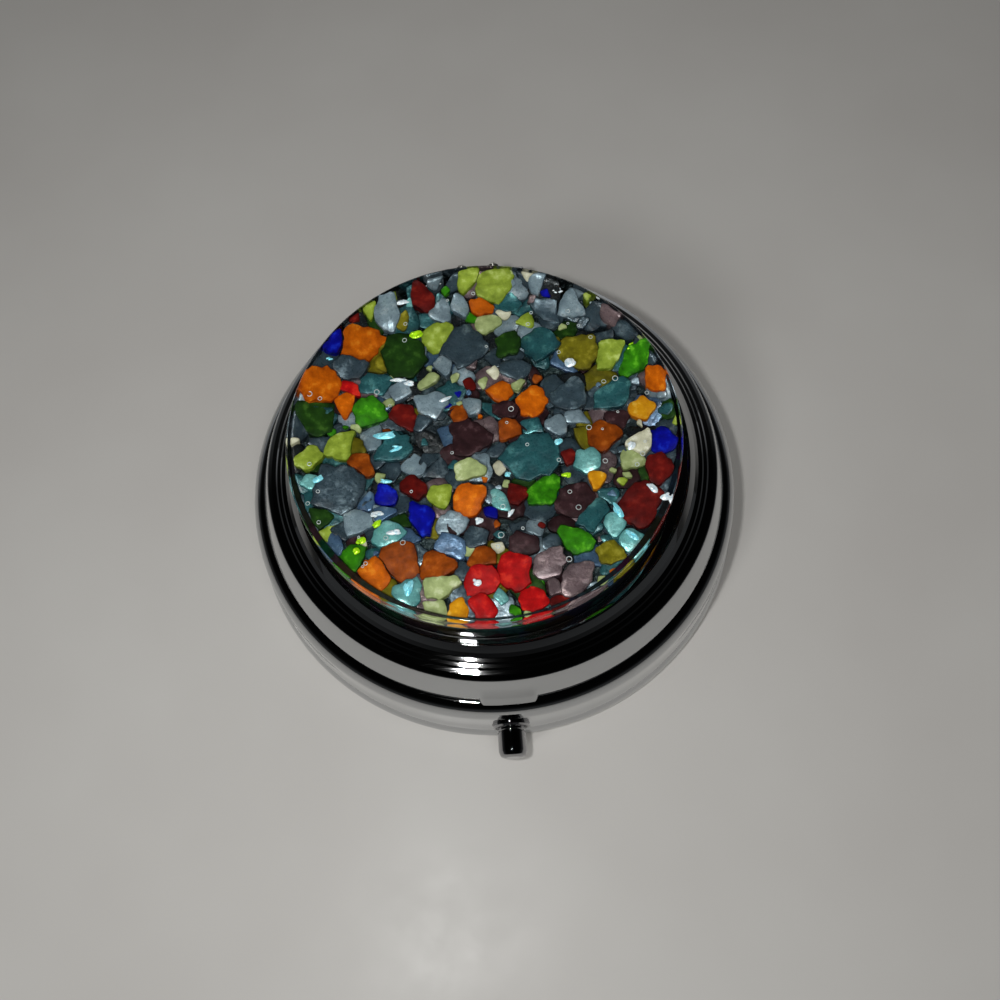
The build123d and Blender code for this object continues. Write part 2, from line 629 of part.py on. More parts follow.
# ---- lid hinge rivets ----
lid_rivet_wall_y = math.sqrt((lid_wall_radius(LID_RIVET_Z + 0.7) - LID_WALL) ** 2 - 2.4**2)
lid_rivet_leaf_y = lid_wall_radius(LID_RIVET_Z - 0.75) + LEAF_THICK
with BuildPart() as lid_hinge_rivets:
    for side in (-1, 1):
        wall_rivet(side * LID_RIVET_X, LID_RIVET_Z, lid_rivet_wall_y - 0.03, lid_rivet_leaf_y)
save(lid_hinge_rivets, "lid_hinge_rivets")

# ---- lid shell: side band, rolled edge, stepped top, seat and bezel lip ----
with BuildPart() as lid_shell:
    with BuildSketch(Plane.XZ):
        with BuildLine():
            add(lid_outline().line)
            ThreePointArc(
                (STEP_OUTER + 0.15, ROLL_Z + 0.62),
                (STEP_OUTER - 0.2, ROLL_Z + 0.98),
                (STEP_OUTER - 0.65, ROLL_Z + 1.13),
            )
            Line((STEP_OUTER - 0.65, ROLL_Z + 1.13), (BEZEL_OUTER, SEAT_Z - 0.2))
            Line((BEZEL_OUTER, SEAT_Z - 0.2), (BEZEL_OUTER - 0.15, BEZEL_TOP - BEZEL_EDGE))
            ThreePointArc(
                (BEZEL_OUTER - 0.15, BEZEL_TOP - BEZEL_EDGE),
                ((BEZEL_OUTER - 0.15 + BEZEL_INNER) / 2, BEZEL_TOP),
                (BEZEL_INNER, BEZEL_TOP - BEZEL_EDGE),
            )
            Polyline(
                (BEZEL_INNER, BEZEL_TOP - BEZEL_EDGE),
                (BEZEL_INNER, SEAT_Z),
                (0, SEAT_Z),
                (0, CEILING_Z),
                (BEZEL_INNER - 0.6, CEILING_Z),
                (STEP_OUTER - 0.4, ROLL_Z + 0.45),
                (ROLL_RADIUS - LID_WALL, ROLL_Z - 0.1),
                (LID_EDGE_RADIUS - LID_WALL, LID_BOTTOM),
                (LID_EDGE_RADIUS, LID_BOTTOM),
            )
        make_face()
    revolve(axis=Axis.Z)
    # thumb lip at the front, above the button
    with BuildSketch(Plane.XY.offset(LID_BOTTOM - EDGE_CURL)):
        with BuildLine():
            Polyline(
                (-2.8, -22.65),
                (-2.3, -23.75),
                (2.3, -23.75),
                (2.8, -22.65),
                close=True,
            )
        make_face()
    extrude(amount=0.65)
    fillet(
        lid_shell.edges().filter_by(Axis.X).group_by(Axis.Y)[0],
        radius=0.2,
    )
    for side in (-1, 1):
        hole_along_y(RIVET_RADIUS, side * LID_RIVET_X, LID_RIVET_Z, LINER_OUTER - 1, RIVET_REACH)
save(lid_shell, "lid_shell")

# ---- lid catch: a bent strap inside the front of the lid, with a window ----
with BuildPart() as lid_catch:
    with BuildSketch(Plane.YZ.offset(-CATCH_HALF)):
        with BuildLine():
            Polyline(
                (CATCH_OUTER_Y, CATCH_BOTTOM),
                (CATCH_INNER_Y, CATCH_BOTTOM),
                (CATCH_INNER_Y, LID_BOTTOM + 0.2),
                (-21.1, CATCH_TOP),
                (-21.5, CATCH_TOP),
                (CATCH_OUTER_Y, LID_BOTTOM + 0.2),
                close=True,
            )
        make_face()
    extrude(amount=2 * CATCH_HALF)
    with BuildSketch(Plane.XZ.offset(20)):
        with Locations((0, CATCH_WINDOW_Z)):
            RectangleRounded(*CATCH_WINDOW, 0.25)
    extrude(amount=4, mode=Mode.SUBTRACT)
    fillet(lid_catch.edges().filter_by(Axis.Y).group_by(Axis.Z)[0], radius=0.5)
save(lid_catch, "lid_catch")

# ---- lid liner: a ring that frames the mirror, notched for the catch ----
with BuildPart() as lid_liner:
    with BuildSketch(Plane.XZ):
        with BuildLine():
            Polyline(
                (LINER_INNER, LINER_Z),
                (LINER_OUTER - 0.2, LINER_Z),
                (LINER_OUTER, LINER_Z + 0.2),
                (LINER_OUTER, LINER_TOP),
                (MIRROR_RADIUS + GAP, LINER_TOP),
                (MIRROR_RADIUS + GAP, MIRROR_Z - GAP),
                (LINER_INNER, MIRROR_Z - GAP),
                close=True,
            )
        make_face()
    revolve(axis=Axis.Z)
save(lid_liner, "lid_liner")

# ---- mirror, with its bevelled edge, and the foam pad that bonds it ----
with BuildPart() as mirror:
    with BuildSketch(Plane.XY.offset(MIRROR_Z)):
        Circle(MIRROR_RADIUS)
    extrude(amount=MIRROR_THICK)
    chamfer(mirror.edges().group_by(Axis.Z)[0], length=MIRROR_BEVEL)
save(mirror, "mirror")

with BuildPart() as mirror_pad:
    with BuildSketch(Plane.XY.offset(MIRROR_Z + MIRROR_THICK)):
        Circle(PAD_RADIUS)
    extrude(amount=CEILING_Z - MIRROR_Z - MIRROR_THICK)
save(mirror_pad, "mirror_pad")

# ---- glass stack: adhesive, foil, fused mosaic and the clear glass on top ----
FOIL_Z = SEAT_Z + GLUE_THICK
MOSAIC_Z = FOIL_Z + FOIL_THICK
CLEAR_Z = MOSAIC_Z + MOSAIC_THICK


def glass_disc(z, thick, radius):
    """A flat disc on the lid's seat, in line with the glass."""
    with BuildPart() as disc:
        with BuildSketch(Plane.XY.offset(z)):
            with Locations(GLASS_OFFSET):
                Circle(radius)
        extrude(amount=thick)
    return disc


save(glass_disc(SEAT_Z, GLUE_THICK, GLASS_RADIUS - 0.8), "glass_adhesive")
save(glass_disc(FOIL_Z, FOIL_THICK, GLASS_RADIUS - 0.3), "glass_foil")
save(glass_disc(MOSAIC_Z, MOSAIC_THICK, GLASS_RADIUS), "mosaic_layer")

GLASS_EDGE_Z = 17.2  # where the straight side ends and the rounded edge begins
GLASS_SHOULDER = (GLASS_RADIUS - 0.45, 17.76)  # where the rounded edge meets the crown
with BuildPart() as glass_puck:
    with BuildSketch(Plane(origin=(*GLASS_OFFSET, 0), x_dir=(1, 0, 0), z_dir=(0, -1, 0))):
        with BuildLine():
            Line((0, CLEAR_Z), (GLASS_RADIUS, CLEAR_Z))
            Line((GLASS_RADIUS, CLEAR_Z), (GLASS_RADIUS, GLASS_EDGE_Z))
            TangentArc((GLASS_RADIUS, GLASS_EDGE_Z), GLASS_SHOULDER, tangent=(0, 1))
            TangentArc((0, GLASS_TOP), GLASS_SHOULDER, tangent=(1, 0))
            Line((0, GLASS_TOP), (0, CLEAR_Z))
        make_face()
    revolve(axis=Axis((*GLASS_OFFSET, 0), (0, 0, 1)))
save(glass_puck, "glass_puck")
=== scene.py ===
import math
import random

import bpy
import numpy as np
from mathutils import Matrix, Vector, noise


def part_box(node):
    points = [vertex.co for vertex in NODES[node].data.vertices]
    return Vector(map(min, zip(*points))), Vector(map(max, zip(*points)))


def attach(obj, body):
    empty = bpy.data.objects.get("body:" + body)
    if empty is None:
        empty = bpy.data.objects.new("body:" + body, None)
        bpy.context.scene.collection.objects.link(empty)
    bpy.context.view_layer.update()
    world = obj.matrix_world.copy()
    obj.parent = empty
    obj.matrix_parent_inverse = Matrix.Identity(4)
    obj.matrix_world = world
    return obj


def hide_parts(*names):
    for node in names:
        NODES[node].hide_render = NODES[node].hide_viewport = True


# Looks of the travel pill organizer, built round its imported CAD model. Profiles and chip lists
# are in millimetres in the part's own frame, and MM turns them into metres.
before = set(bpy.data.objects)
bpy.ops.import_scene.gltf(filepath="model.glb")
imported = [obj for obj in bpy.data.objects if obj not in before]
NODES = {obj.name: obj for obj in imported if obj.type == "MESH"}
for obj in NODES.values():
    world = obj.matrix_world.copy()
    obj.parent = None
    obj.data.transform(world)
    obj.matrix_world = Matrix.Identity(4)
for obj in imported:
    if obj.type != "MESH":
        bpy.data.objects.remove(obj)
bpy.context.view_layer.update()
MM = 0.001
TAU = 2 * math.pi

# ---- dimensions shared with the CAD, mm ----
GLASS_X = -0.5  # the disc of glass is glued slightly off the middle
GLASS_Y = 0.1
GLASS_R = 18.5
GLASS_FLOOR = 13.3
GLASS_TOP = 18.2
BASE_R = 25.0  # widest ring of the base
BEAD = 1.4  # radius of the rolled bead at its foot
NOTCH_HALF, NOTCH_Y, NOTCH_FLOOR = 5.9, 23.1, 6.25  # the notch for the hinge in the back of the base
BUTTON_Z = 4.0
BUTTON_BORE = 1.8
RIVET_R = 0.4
BASE_RIVET = (3.9, 4.7)  # distance to each side, and height, of a rivet in the base
LID_RIVET = (1.7, 10.35)
BAND_LOW, BAND_HIGH = (23.1, 8.62), (22.27, 11.05)  # the ends of the lid's side band
LIP_HALF_IN = 2.9  # half width of the thumb lip where it leaves the band
LIP_HALF_OUT = 2.3
LIP_START = 10.5  # height at which the band starts to flare into the lip
LIP_LOW = 8.3  # height at which the lip has flared by its whole LIP_OUT
LIP_OUT = 0.62

# ---- dimensions of the visible pieces alone, mm ----
SHOULDER_X, SHOULDER_Z = 23.05, 6.15  # centre of the base's elliptical shoulder
SHOULDER_A, SHOULDER_B = 1.45, 2.0  # its half width and half height
GLASS_DOME = 0.43  # how far the glass's top falls from the middle to the edge
CHIP_LIMIT = 18.3  # no chip reaches further out than this, inside the glass wall
CHIP_FLOOR = 13.42
CHIP_CEILING = 17.35
CHIP_SCALE = 0.976  # the chips are noted on a disc of 19 mm radius
FLAKE_Z = 15.65  # height of the bright flakes
BED_FLOOR, BED_TOP = 13.33, 13.62  # the crushed glass under the chips
RIM_OUT, RIM_IN = GLASS_R - 0.11, GLASS_R - 0.29  # the dark glass round the chips, painted shade for the dark front wall of the glass
RIM_FLOOR, RIM_TOP = 13.36, 15.3
FRONT_SHADE_RIM = 0.8  # its width towards the button


# ======== materials ========
def srgb(r, g, b):
    """An 8-bit sRGB colour as linear values."""
    def lin(v):
        v = v / 255
        return v / 12.92 if v <= 0.04045 else ((v + 0.055) / 1.055) ** 2.4
    return (lin(r), lin(g), lin(b), 1.0)


class Nodes:
    """A small helper round one material's node tree."""

    def __init__(self, name):
        self.mat = bpy.data.materials.new(name)
        self.mat.use_nodes = True
        self.tree = self.mat.node_tree
        self.bsdf = self.tree.nodes["Principled BSDF"]
        self.out = self.tree.nodes["Material Output"]
        self.coord = None

    def add(self, kind, **values):
        n = self.tree.nodes.new(kind)
        for k, v in values.items():
            if hasattr(n, k) and k not in n.inputs:
                setattr(n, k, v)
            else:
                n.inputs[k].default_value = v
        return n

    def link(self, a, b):
        self.tree.links.new(a, b)

    def position(self):
        if self.coord is None:
            self.coord = self.add("ShaderNodeTexCoord").outputs["Object"]
        return self.coord

    def noise(self, size_mm, detail=3.0, rough=0.5, stretch=None):
        """Noise whose features are about size_mm wide."""
        n = self.add("ShaderNodeTexNoise", Scale=1.0 / (size_mm * MM), Detail=detail, Roughness=rough)
        source = self.position()
        if stretch is not None:
            m = self.add("ShaderNodeMapping")
            m.inputs["Scale"].default_value = stretch
            self.link(source, m.inputs["Vector"])
            source = m.outputs["Vector"]
        self.link(source, n.inputs["Vector"])
        return n.outputs["Fac"]

    def cells(self, size_mm, feature="F1"):
        """Irregular cells about size_mm wide."""
        n = self.add("ShaderNodeTexVoronoi", Scale=1.0 / (size_mm * MM))
        n.feature = feature
        self.link(self.position(), n.inputs["Vector"])
        return n

    def ramp(self, source, stops):
        """Colour or value ramp: stops are (place, colour or value)."""
        n = self.add("ShaderNodeValToRGB")
        e = n.color_ramp.elements
        while len(e) < len(stops):
            e.new(0.5)
        for el, (place, c) in zip(e, stops):
            el.position = place
            el.color = c if isinstance(c, tuple) else (c, c, c, 1)
        self.link(source, n.inputs["Fac"])
        return n.outputs["Color"]

    def remap(self, source, lo, hi, from_lo=0.3, from_hi=0.7):
        n = self.add("ShaderNodeMapRange")
        n.inputs["From Min"].default_value = from_lo
        n.inputs["From Max"].default_value = from_hi
        n.inputs["To Min"].default_value = lo
        n.inputs["To Max"].default_value = hi
        self.link(source, n.inputs["Value"])
        return n.outputs["Result"]

    def mix(self, factor, a, b, blend="MIX"):
        n = self.add("ShaderNodeMix")
        n.data_type = "RGBA"
        n.blend_type = blend
        for value, socket in ((factor, n.inputs[0]), (a, n.inputs[6]), (b, n.inputs[7])):
            if isinstance(value, (tuple, float, int)):
                socket.default_value = value
            else:
                self.link(value, socket)
        return n.outputs[2]

    def math(self, op, a, b=0.0):
        n = self.add("ShaderNodeMath")
        n.operation = op
        for value, socket in ((a, n.inputs[0]), (b, n.inputs[1])):
            if isinstance(value, (float, int)):
                socket.default_value = value
            else:
                self.link(value, socket)
        return n.outputs[0]

    def attribute(self, name):
        n = self.add("ShaderNodeAttribute")
        n.attribute_name = name
        return n

    def bump(self, height, depth_mm, strength=1.0):
        n = self.add("ShaderNodeBump", Strength=strength, Distance=depth_mm * MM)
        self.link(height, n.inputs["Height"])
        self.link(n.outputs["Normal"], self.bsdf.inputs["Normal"])
        return n

    def set(self, **values):
        for k, v in values.items():
            socket = self.bsdf.inputs[k.replace("_", " ")]
            if isinstance(v, (tuple, float, int)):
                socket.default_value = v
            else:
                self.link(v, socket)
        return self


def chrome(name, tone=(0.50, 0.51, 0.52), rough=0.03, smudge=0.10, wave=0.006):
    """Bright plating: faint waviness, handling smudges and hairline scratches."""
    m = Nodes(name)
    haze = m.noise(5.0, 4.0, 0.6)
    fine = m.noise(0.6, 3.0, 0.6)
    hair = m.noise(0.5, 2.0, 0.5, stretch=(0.15, 3.0, 0.6))
    grime = m.ramp(haze, [(0.52, 0.0), (0.78, 1.0)])
    speck = m.ramp(fine, [(0.60, 0.0), (0.78, 1.0)])
    cover = m.math("MULTIPLY", grime, speck)
    scratched = m.ramp(hair, [(0.58, 0.0), (0.80, 1.0)])
    total = m.math("ADD", m.math("MULTIPLY", cover, smudge * 1.6), m.math("MULTIPLY", scratched, 0.05))
    dull = (tone[0] * 0.82, tone[1] * 0.82, tone[2] * 0.80, 1)
    m.set(
        Metallic=1.0,
        Base_Color=m.mix(m.math("MULTIPLY", cover, 0.35), (*tone, 1), dull),
        Roughness=m.math("ADD", total, rough),
    )
    height = m.math("ADD", m.noise(3.5, 1.0, 0.4), m.math("MULTIPLY", hair, 0.10))
    m.bump(height, wave, 1.0)
    return m.mat


def steel(name, tone, rough=0.22, grain=(0.2, 6.0, 1.0), size=0.35):
    """Bare or plated steel with drawn grain and dull patches."""
    m = Nodes(name)
    lines = m.noise(size, 4.0, 0.6, stretch=grain)
    patch = m.noise(2.2, 3.0, 0.5)
    dull = (tone[0] * 0.62, tone[1] * 0.61, tone[2] * 0.58, 1)
    m.set(
        Metallic=1.0,
        Base_Color=m.mix(m.remap(patch, 0.0, 0.5), (*tone, 1), dull),
        Roughness=m.math("ADD", m.remap(lines, 0.0, 0.16), rough),
    )
    m.bump(lines, 0.012, 0.8)
    return m.mat


def plastic(name, light, shade, rough=0.30):
    """Moulded plastic: very fine mould texture, soft colour drift and rubbed spots."""
    m = Nodes(name)
    drift = m.noise(9.0, 2.0, 0.5)
    peel = m.noise(0.35, 2.0, 0.5)
    rub = m.noise(1.6, 4.0, 0.7)
    m.set(
        Base_Color=m.mix(m.remap(drift, 0.0, 1.0), light, shade),
        Roughness=m.remap(rub, rough - 0.07, rough + 0.12),
        Specular_IOR_Level=0.5,
        Coat_Weight=0.15,
    )
    m.bump(m.math("ADD", peel, m.math("MULTIPLY", rub, 0.5)), 0.010, 0.8)
    return m.mat


def mirror_glass():
    m = Nodes("mirror_silvered")
    dust = m.cells(0.9)
    spots = m.ramp(dust.outputs["Distance"], [(0.03, 1.0), (0.07, 0.0)])
    film = m.noise(4.0, 4.0, 0.6)
    m.set(
        Metallic=1.0,
        Base_Color=m.mix(m.math("MULTIPLY", spots, 0.25), (0.88, 0.90, 0.90, 1), (0.6, 0.6, 0.58, 1)),
        Roughness=m.math("ADD", m.remap(film, 0.0, 0.05, 0.5, 0.8), 0.012),
    )
    m.bump(m.noise(12.0, 1.0), 0.004, 0.5)
    return m.mat


def foam():
    m = Nodes("foam_pad")
    pores = m.cells(0.25)
    tone = m.noise(1.5, 3.0)
    m.set(
        Base_Color=m.mix(m.remap(tone, 0.0, 1.0), srgb(214, 210, 198), srgb(176, 170, 156)),
        Roughness=m.remap(tone, 0.82, 0.98),
        Sheen_Weight=0.2,
    )
    m.bump(pores.outputs["Distance"], 0.08, 1.0)
    return m.mat


def cured_glue():
    m = Nodes("cured_glue")
    swirl = m.noise(1.8, 4.0, 0.6)
    m.set(
        Base_Color=m.mix(m.remap(swirl, 0.0, 1.0), srgb(206, 200, 176), srgb(160, 150, 122)),
        Roughness=m.remap(swirl, 0.15, 0.35),
        Coat_Weight=0.5,
    )
    m.bump(swirl, 0.05, 0.8)
    return m.mat


def foil_backing():
    m = Nodes("foil_backing")
    creases = m.cells(1.1, "DISTANCE_TO_EDGE")
    fine = m.noise(0.5, 4.0, 0.6)
    m.set(
        Metallic=1.0,
        Base_Color=m.mix(m.remap(fine, 0.0, 1.0), (0.56, 0.57, 0.58, 1), (0.30, 0.31, 0.33, 1)),
        Roughness=m.remap(fine, 0.16, 0.36),
    )
    m.bump(m.math("ADD", m.math("MULTIPLY", creases.outputs["Distance"], 2.0), fine), 0.12, 1.0)
    return m.mat


def clear_glass():
    """Fire-polished glass that lets lamps through to what is fused inside it."""
    m = Nodes("fused_clear_glass")
    ripple = m.noise(7.0, 1.0, 0.4)
    seeds = m.noise(0.5, 2.0)
    m.set(
        Base_Color=(0.965, 0.985, 0.975, 1),
        Transmission_Weight=1.0,
        IOR=1.5,
        Roughness=m.remap(seeds, 0.0, 0.012, 0.55, 0.8),
    )
    m.bump(ripple, 0.05, 0.6)
    path = m.add("ShaderNodeLightPath")
    through = m.add("ShaderNodeBsdfTransparent")
    through.inputs["Color"].default_value = (0.93, 0.955, 0.945, 1)
    lamp = m.add("ShaderNodeMixShader")
    m.link(path.outputs["Is Shadow Ray"], lamp.inputs[0])
    m.link(m.bsdf.outputs[0], lamp.inputs[1])
    m.link(through.outputs[0], lamp.inputs[2])
    bounce = m.add("ShaderNodeMixShader")
    m.link(path.outputs["Is Diffuse Ray"], bounce.inputs[0])
    m.link(lamp.outputs[0], bounce.inputs[1])
    m.link(through.outputs[0], bounce.inputs[2])
    m.link(bounce.outputs[0], m.out.inputs["Surface"])
    return m.mat


def chip_glass(name, core, edge, streak, sparkle):
    """Coloured glass chip: a clearer heart, a darker border, wispy streaks, and a tone of its own.
    The see-through colours sparkle, from the foil under them. Each chip also shines faintly in its own
    colour, a painted glow that lifts its shaded sides."""
    m = Nodes(name)
    heart = m.attribute("heart").outputs["Fac"]
    tone = m.attribute("tone").outputs["Fac"]
    wisps = m.noise(1.3 if sparkle else 0.9, 4.0, 0.55)
    grit = m.noise(0.3, 2.0, 0.5)
    depth = m.math("ADD", m.math("MULTIPLY", heart, 0.75), m.remap(wisps, -0.35, 0.45))
    body = m.mix(m.remap(depth, 0.0, 1.0, 0.0, 1.0), edge, core)
    streaked = m.mix(m.ramp(wisps, [(0.56, 0.0), (0.72, 0.75)]), body, streak)
    toned = m.mix(1.0, streaked, m.ramp(tone, [(0.0, 0.45), (1.0, 1.0)]), "MULTIPLY")
    if sparkle:
        m.set(Base_Color=toned, Roughness=m.remap(grit, 0.22, 0.42), Metallic=m.remap(wisps, 0.10, 0.55))
    else:
        m.set(Base_Color=toned, Roughness=m.remap(grit, 0.40, 0.60), Specular_IOR_Level=0.12)
    # painted glow: the chip's colour is also emitted, as painted light that fills its shade
    m.link(toned, m.bsdf.inputs["Emission Color"])
    m.bsdf.inputs["Emission Strength"].default_value = 0.15
    m.bump(m.math("ADD", wisps, m.math("MULTIPLY", grit, 0.4)), 0.10 if sparkle else 0.03, 0.8)
    return m.mat


# ======== mesh helpers ========
def between(a, b, t):
    """The point a share t of the way from a to b."""
    return (a[0] + t * (b[0] - a[0]), a[1] + t * (b[1] - a[1]))


def arc(a, b, c, steps):
    """Points from a through b to c on a circle, a and c included."""
    (ax, ay), (bx, by), (cx, cy) = a, b, c
    d = 2 * (ax * (by - cy) + bx * (cy - ay) + cx * (ay - by))
    a2, b2, c2 = ax * ax + ay * ay, bx * bx + by * by, cx * cx + cy * cy
    ux = (a2 * (by - cy) + b2 * (cy - ay) + c2 * (ay - by)) / d
    uy = (a2 * (cx - bx) + b2 * (ax - cx) + c2 * (bx - ax)) / d
    r = math.hypot(ax - ux, ay - uy)
    t0, t1, t2 = (math.atan2(y - uy, x - ux) for x, y in (a, b, c))
    span = (t2 - t0) % TAU
    if (t1 - t0) % TAU > span:
        span -= TAU
    turns = [t0 + span * i / steps for i in range(steps + 1)]
    return [(ux + r * math.cos(t), uy + r * math.sin(t)) for t in turns]


HOLD = 0.05  # distance from a round to the support point beside it, mm


def rounded(corners, steps=6):
    """A polyline whose corners (x, y, radius) are rounded. Each round has a support point beside
    it, so that smooth shading keeps the straights flat."""
    out = []
    for i, (x, y, r) in enumerate(corners):
        p = Vector((x, y))
        if r <= 0 or i in (0, len(corners) - 1):
            out.append((x, y))
            continue
        a = Vector(corners[i - 1][:2]) - p
        b = Vector(corners[i + 1][:2]) - p
        half = a.angle(b) / 2
        if half > math.pi / 2 - 0.01:
            out.append((x, y))
            continue
        cut = min(r / math.tan(half), 0.46 * a.length, 0.46 * b.length)
        r = cut * math.tan(half)
        a.normalize()
        b.normalize()
        middle = (a + b).normalized()
        centre = p + middle * (r / math.sin(half))
        start, end, top = p + a * cut, p + b * cut, centre - middle * r
        out.append(tuple(start + a * min(HOLD, cut * 0.2)))
        out += arc(tuple(start), tuple(top), tuple(end), steps)
        out.append(tuple(end + b * min(HOLD, cut * 0.2)))
    return out


def make_mesh(name, verts, faces, material, body, scale=MM, sharp_deg=38):
    """A mesh object from mm coordinates, smooth shaded with sharp edges kept, riding on a body."""
    mesh = bpy.data.meshes.new(name)
    mesh.from_pydata([tuple(c * scale for c in v) for v in verts], [], faces)
    mesh.validate()
    mesh.update()
    mesh.shade_smooth()
    mesh.set_sharp_from_angle(angle=math.radians(sharp_deg))
    obj = bpy.data.objects.new(name, mesh)
    bpy.context.scene.collection.objects.link(obj)
    if material is not None:
        mesh.materials.append(material)
    if body is not None:
        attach(obj, body)
    return obj


def lathe(profile, angles, centre=(0.0, 0.0), bend=None, axis="Z"):
    """Vertices and faces of a closed profile of (radius, height) turned about an axis. bend(angle,
    radius, height) may move a point."""
    verts, rings = [], []
    for r, h in profile:
        if r < 1e-6:
            rings.append([len(verts)])
            verts.append((0.0, 0.0, h))
            continue
        ring = []
        for a in angles:
            rr, hh = bend(a, r, h) if bend else (r, h)
            ring.append(len(verts))
            verts.append((rr * math.cos(a), rr * math.sin(a), hh))
        rings.append(ring)
    faces = []
    n = len(angles)
    for k in range(len(rings)):
        low, high = rings[k], rings[(k + 1) % len(rings)]
        if len(low) == 1 and len(high) == 1:
            continue
        for i in range(n):
            j = (i + 1) % n
            if len(low) == 1:
                faces.append((low[0], high[j], high[i]))
            elif len(high) == 1:
                faces.append((low[i], low[j], high[0]))
            else:
                faces.append((low[i], low[j], high[j], high[i]))
    if axis == "-Y":  # height runs along -Y, and the circle lies in XZ
        verts = [(x + centre[0], -z, y + centre[1]) for x, y, z in verts]
    else:
        verts = [(x + centre[0], y + centre[1], z) for x, y, z in verts]
    return verts, faces


def even_angles(n, phase=0.0):
    """n angles at even distances round a circle."""
    return [phase + TAU * i / n for i in range(n)]


def front_angles():
    """Angles round the case, closer together at the thumb lip on the -Y side."""
    coarse, reach = 300, 10.2  # how many steps go round, and how far the close ones reach, degrees
    close = [math.radians(-90 + a * 0.22) for a in range(-45, 46)]
    even = [math.radians(-90 + 360 * i / coarse) for i in range(coarse)]
    rest = [a for a in even if reach < (math.degrees(a) + 90) % 360 < 360 - reach]
    return sorted(close + rest)


def drill(obj, cutters):
    """Cut closed meshes out of obj."""
    for k, (verts, faces) in enumerate(cutters):
        tool = make_mesh(f"{obj.name}_tool_{k}", verts, faces, None, None)
        cut = obj.modifiers.new("cut", "BOOLEAN")
        cut.operation = "DIFFERENCE"
        cut.solver = "EXACT"
        cut.object = tool
        bpy.context.view_layer.update()
        done = bpy.data.meshes.new_from_object(obj.evaluated_get(bpy.context.evaluated_depsgraph_get()))
        obj.modifiers.clear()
        obj.data = done
        bpy.data.objects.remove(tool)
    obj.data.shade_smooth()
    obj.data.set_sharp_from_angle(angle=math.radians(38))
    return obj


def block(x0, x1, y0, y1, z0, z1):
    """A closed box for a cutter."""
    v = [(x, y, z) for x in (x0, x1) for y in (y0, y1) for z in (z0, z1)]
    f = [(0, 1, 3, 2), (4, 6, 7, 5), (0, 4, 5, 1), (2, 3, 7, 6), (0, 2, 6, 4), (1, 5, 7, 3)]
    return v, f


def rod_y(radius, x, z, y0, y1, n=48):
    """A closed cylinder along Y."""
    profile = [(0, -y1), (radius, -y1), (radius, -y0), (0, -y0)]
    return lathe(profile, even_angles(n), centre=(x, z), axis="-Y")


# ======== base shell and lid shell ========
CHROME = chrome("chrome_plating")
BUTTON_CHROME = chrome("button_chrome", tone=(0.36, 0.36, 0.37), rough=0.05, smudge=0.14, wave=0.010)

# from the middle of the foot out over the bead, up the side, over the shoulder and down the inside
base_profile = [(0.0, 0.0), (8.0, 0.0), (16.0, 0.0), (22.0, 0.0), (BASE_R - BEAD - 0.05, 0.0)]
bead_middle = (BASE_R - BEAD + BEAD * math.sin(math.pi / 4), BEAD - BEAD * math.cos(math.pi / 4))
base_profile += arc((BASE_R - BEAD, 0.0), bead_middle, (BASE_R, BEAD), 14)
base_profile += arc((BASE_R, BEAD), (24.939, 1.95), (24.77, 2.45), 7)[1:]
base_profile += arc((24.75, 2.52), (24.73, 2.56), (24.725, 2.62), 3)
base_profile += [(24.66, 3.1), (24.58, 3.8), (24.54, 4.3), (24.52, 5.0), (24.51, 5.6)]
for step in range(30):
    t = math.radians(3 * step)
    base_profile.append((SHOULDER_X + SHOULDER_A * math.cos(t), SHOULDER_Z + SHOULDER_B * math.sin(t)))
base_profile += [(22.95, 8.15), (22.72, 8.13), (22.63, 8.08), (22.6, 8.0), (22.6, 7.42), (22.66, 7.32)]
base_profile += [(23.2, 7.1), (23.3, 7.0), (23.62, 5.0), (23.95, 2.5)]
base_profile += arc((23.93, 2.3), (23.66, 1.3), (22.9, 0.82), 6)
base_profile += [(22.6, 0.8), (14.0, 0.8), (7.0, 0.8), (0.0, 0.8)]


def base_bend(a, r, h):
    """The press leaves the side very slightly out of round."""
    if 1.6 < h < 7.2 and r > 24:
        r -= 0.012 * (1 + math.sin(3 * a + 0.7) * 0.6 + math.sin(7 * a) * 0.4)
    return r, h


v, f = lathe(base_profile, even_angles(360, -math.pi / 2), bend=base_bend)
base_shell = make_mesh("shell_base", v, f, CHROME, None)
drill(base_shell, [
    rod_y(BUTTON_BORE, 0, BUTTON_Z, -26.0, -22.3),
    rod_y(RIVET_R, -BASE_RIVET[0], BASE_RIVET[1], 22.3, 26.0, 24),
    rod_y(RIVET_R, BASE_RIVET[0], BASE_RIVET[1], 22.3, 26.0, 24),
    block(-NOTCH_HALF, NOTCH_HALF, NOTCH_Y, 26.0, NOTCH_FLOOR, 9.3),
])
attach(base_shell, "base")
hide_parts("base_shell")


def lip_window(x):
    """1 across the thumb lip, 0 beside it, with short ramps."""
    t = (abs(x) - LIP_HALF_OUT) / (LIP_HALF_IN - LIP_HALF_OUT)
    t = min(max(t, 0.0), 1.0)
    return 1 - t * t * (3 - 2 * t)


def lid_bend(a, r, h):
    """The band's lower edge is drawn out into a thumb lip above the button."""
    y = r * math.sin(a)
    if y < 0 and r > 22.2 and h < LIP_START:
        w = lip_window(r * math.cos(a))
        fall = min(max((LIP_START - h) / (LIP_START - LIP_LOW), 0.0), 1.0) ** 1.5
        if r > 22.5:
            r += LIP_OUT * w * fall
        if h < 8.75:
            h -= 0.2 * w
    return r, h


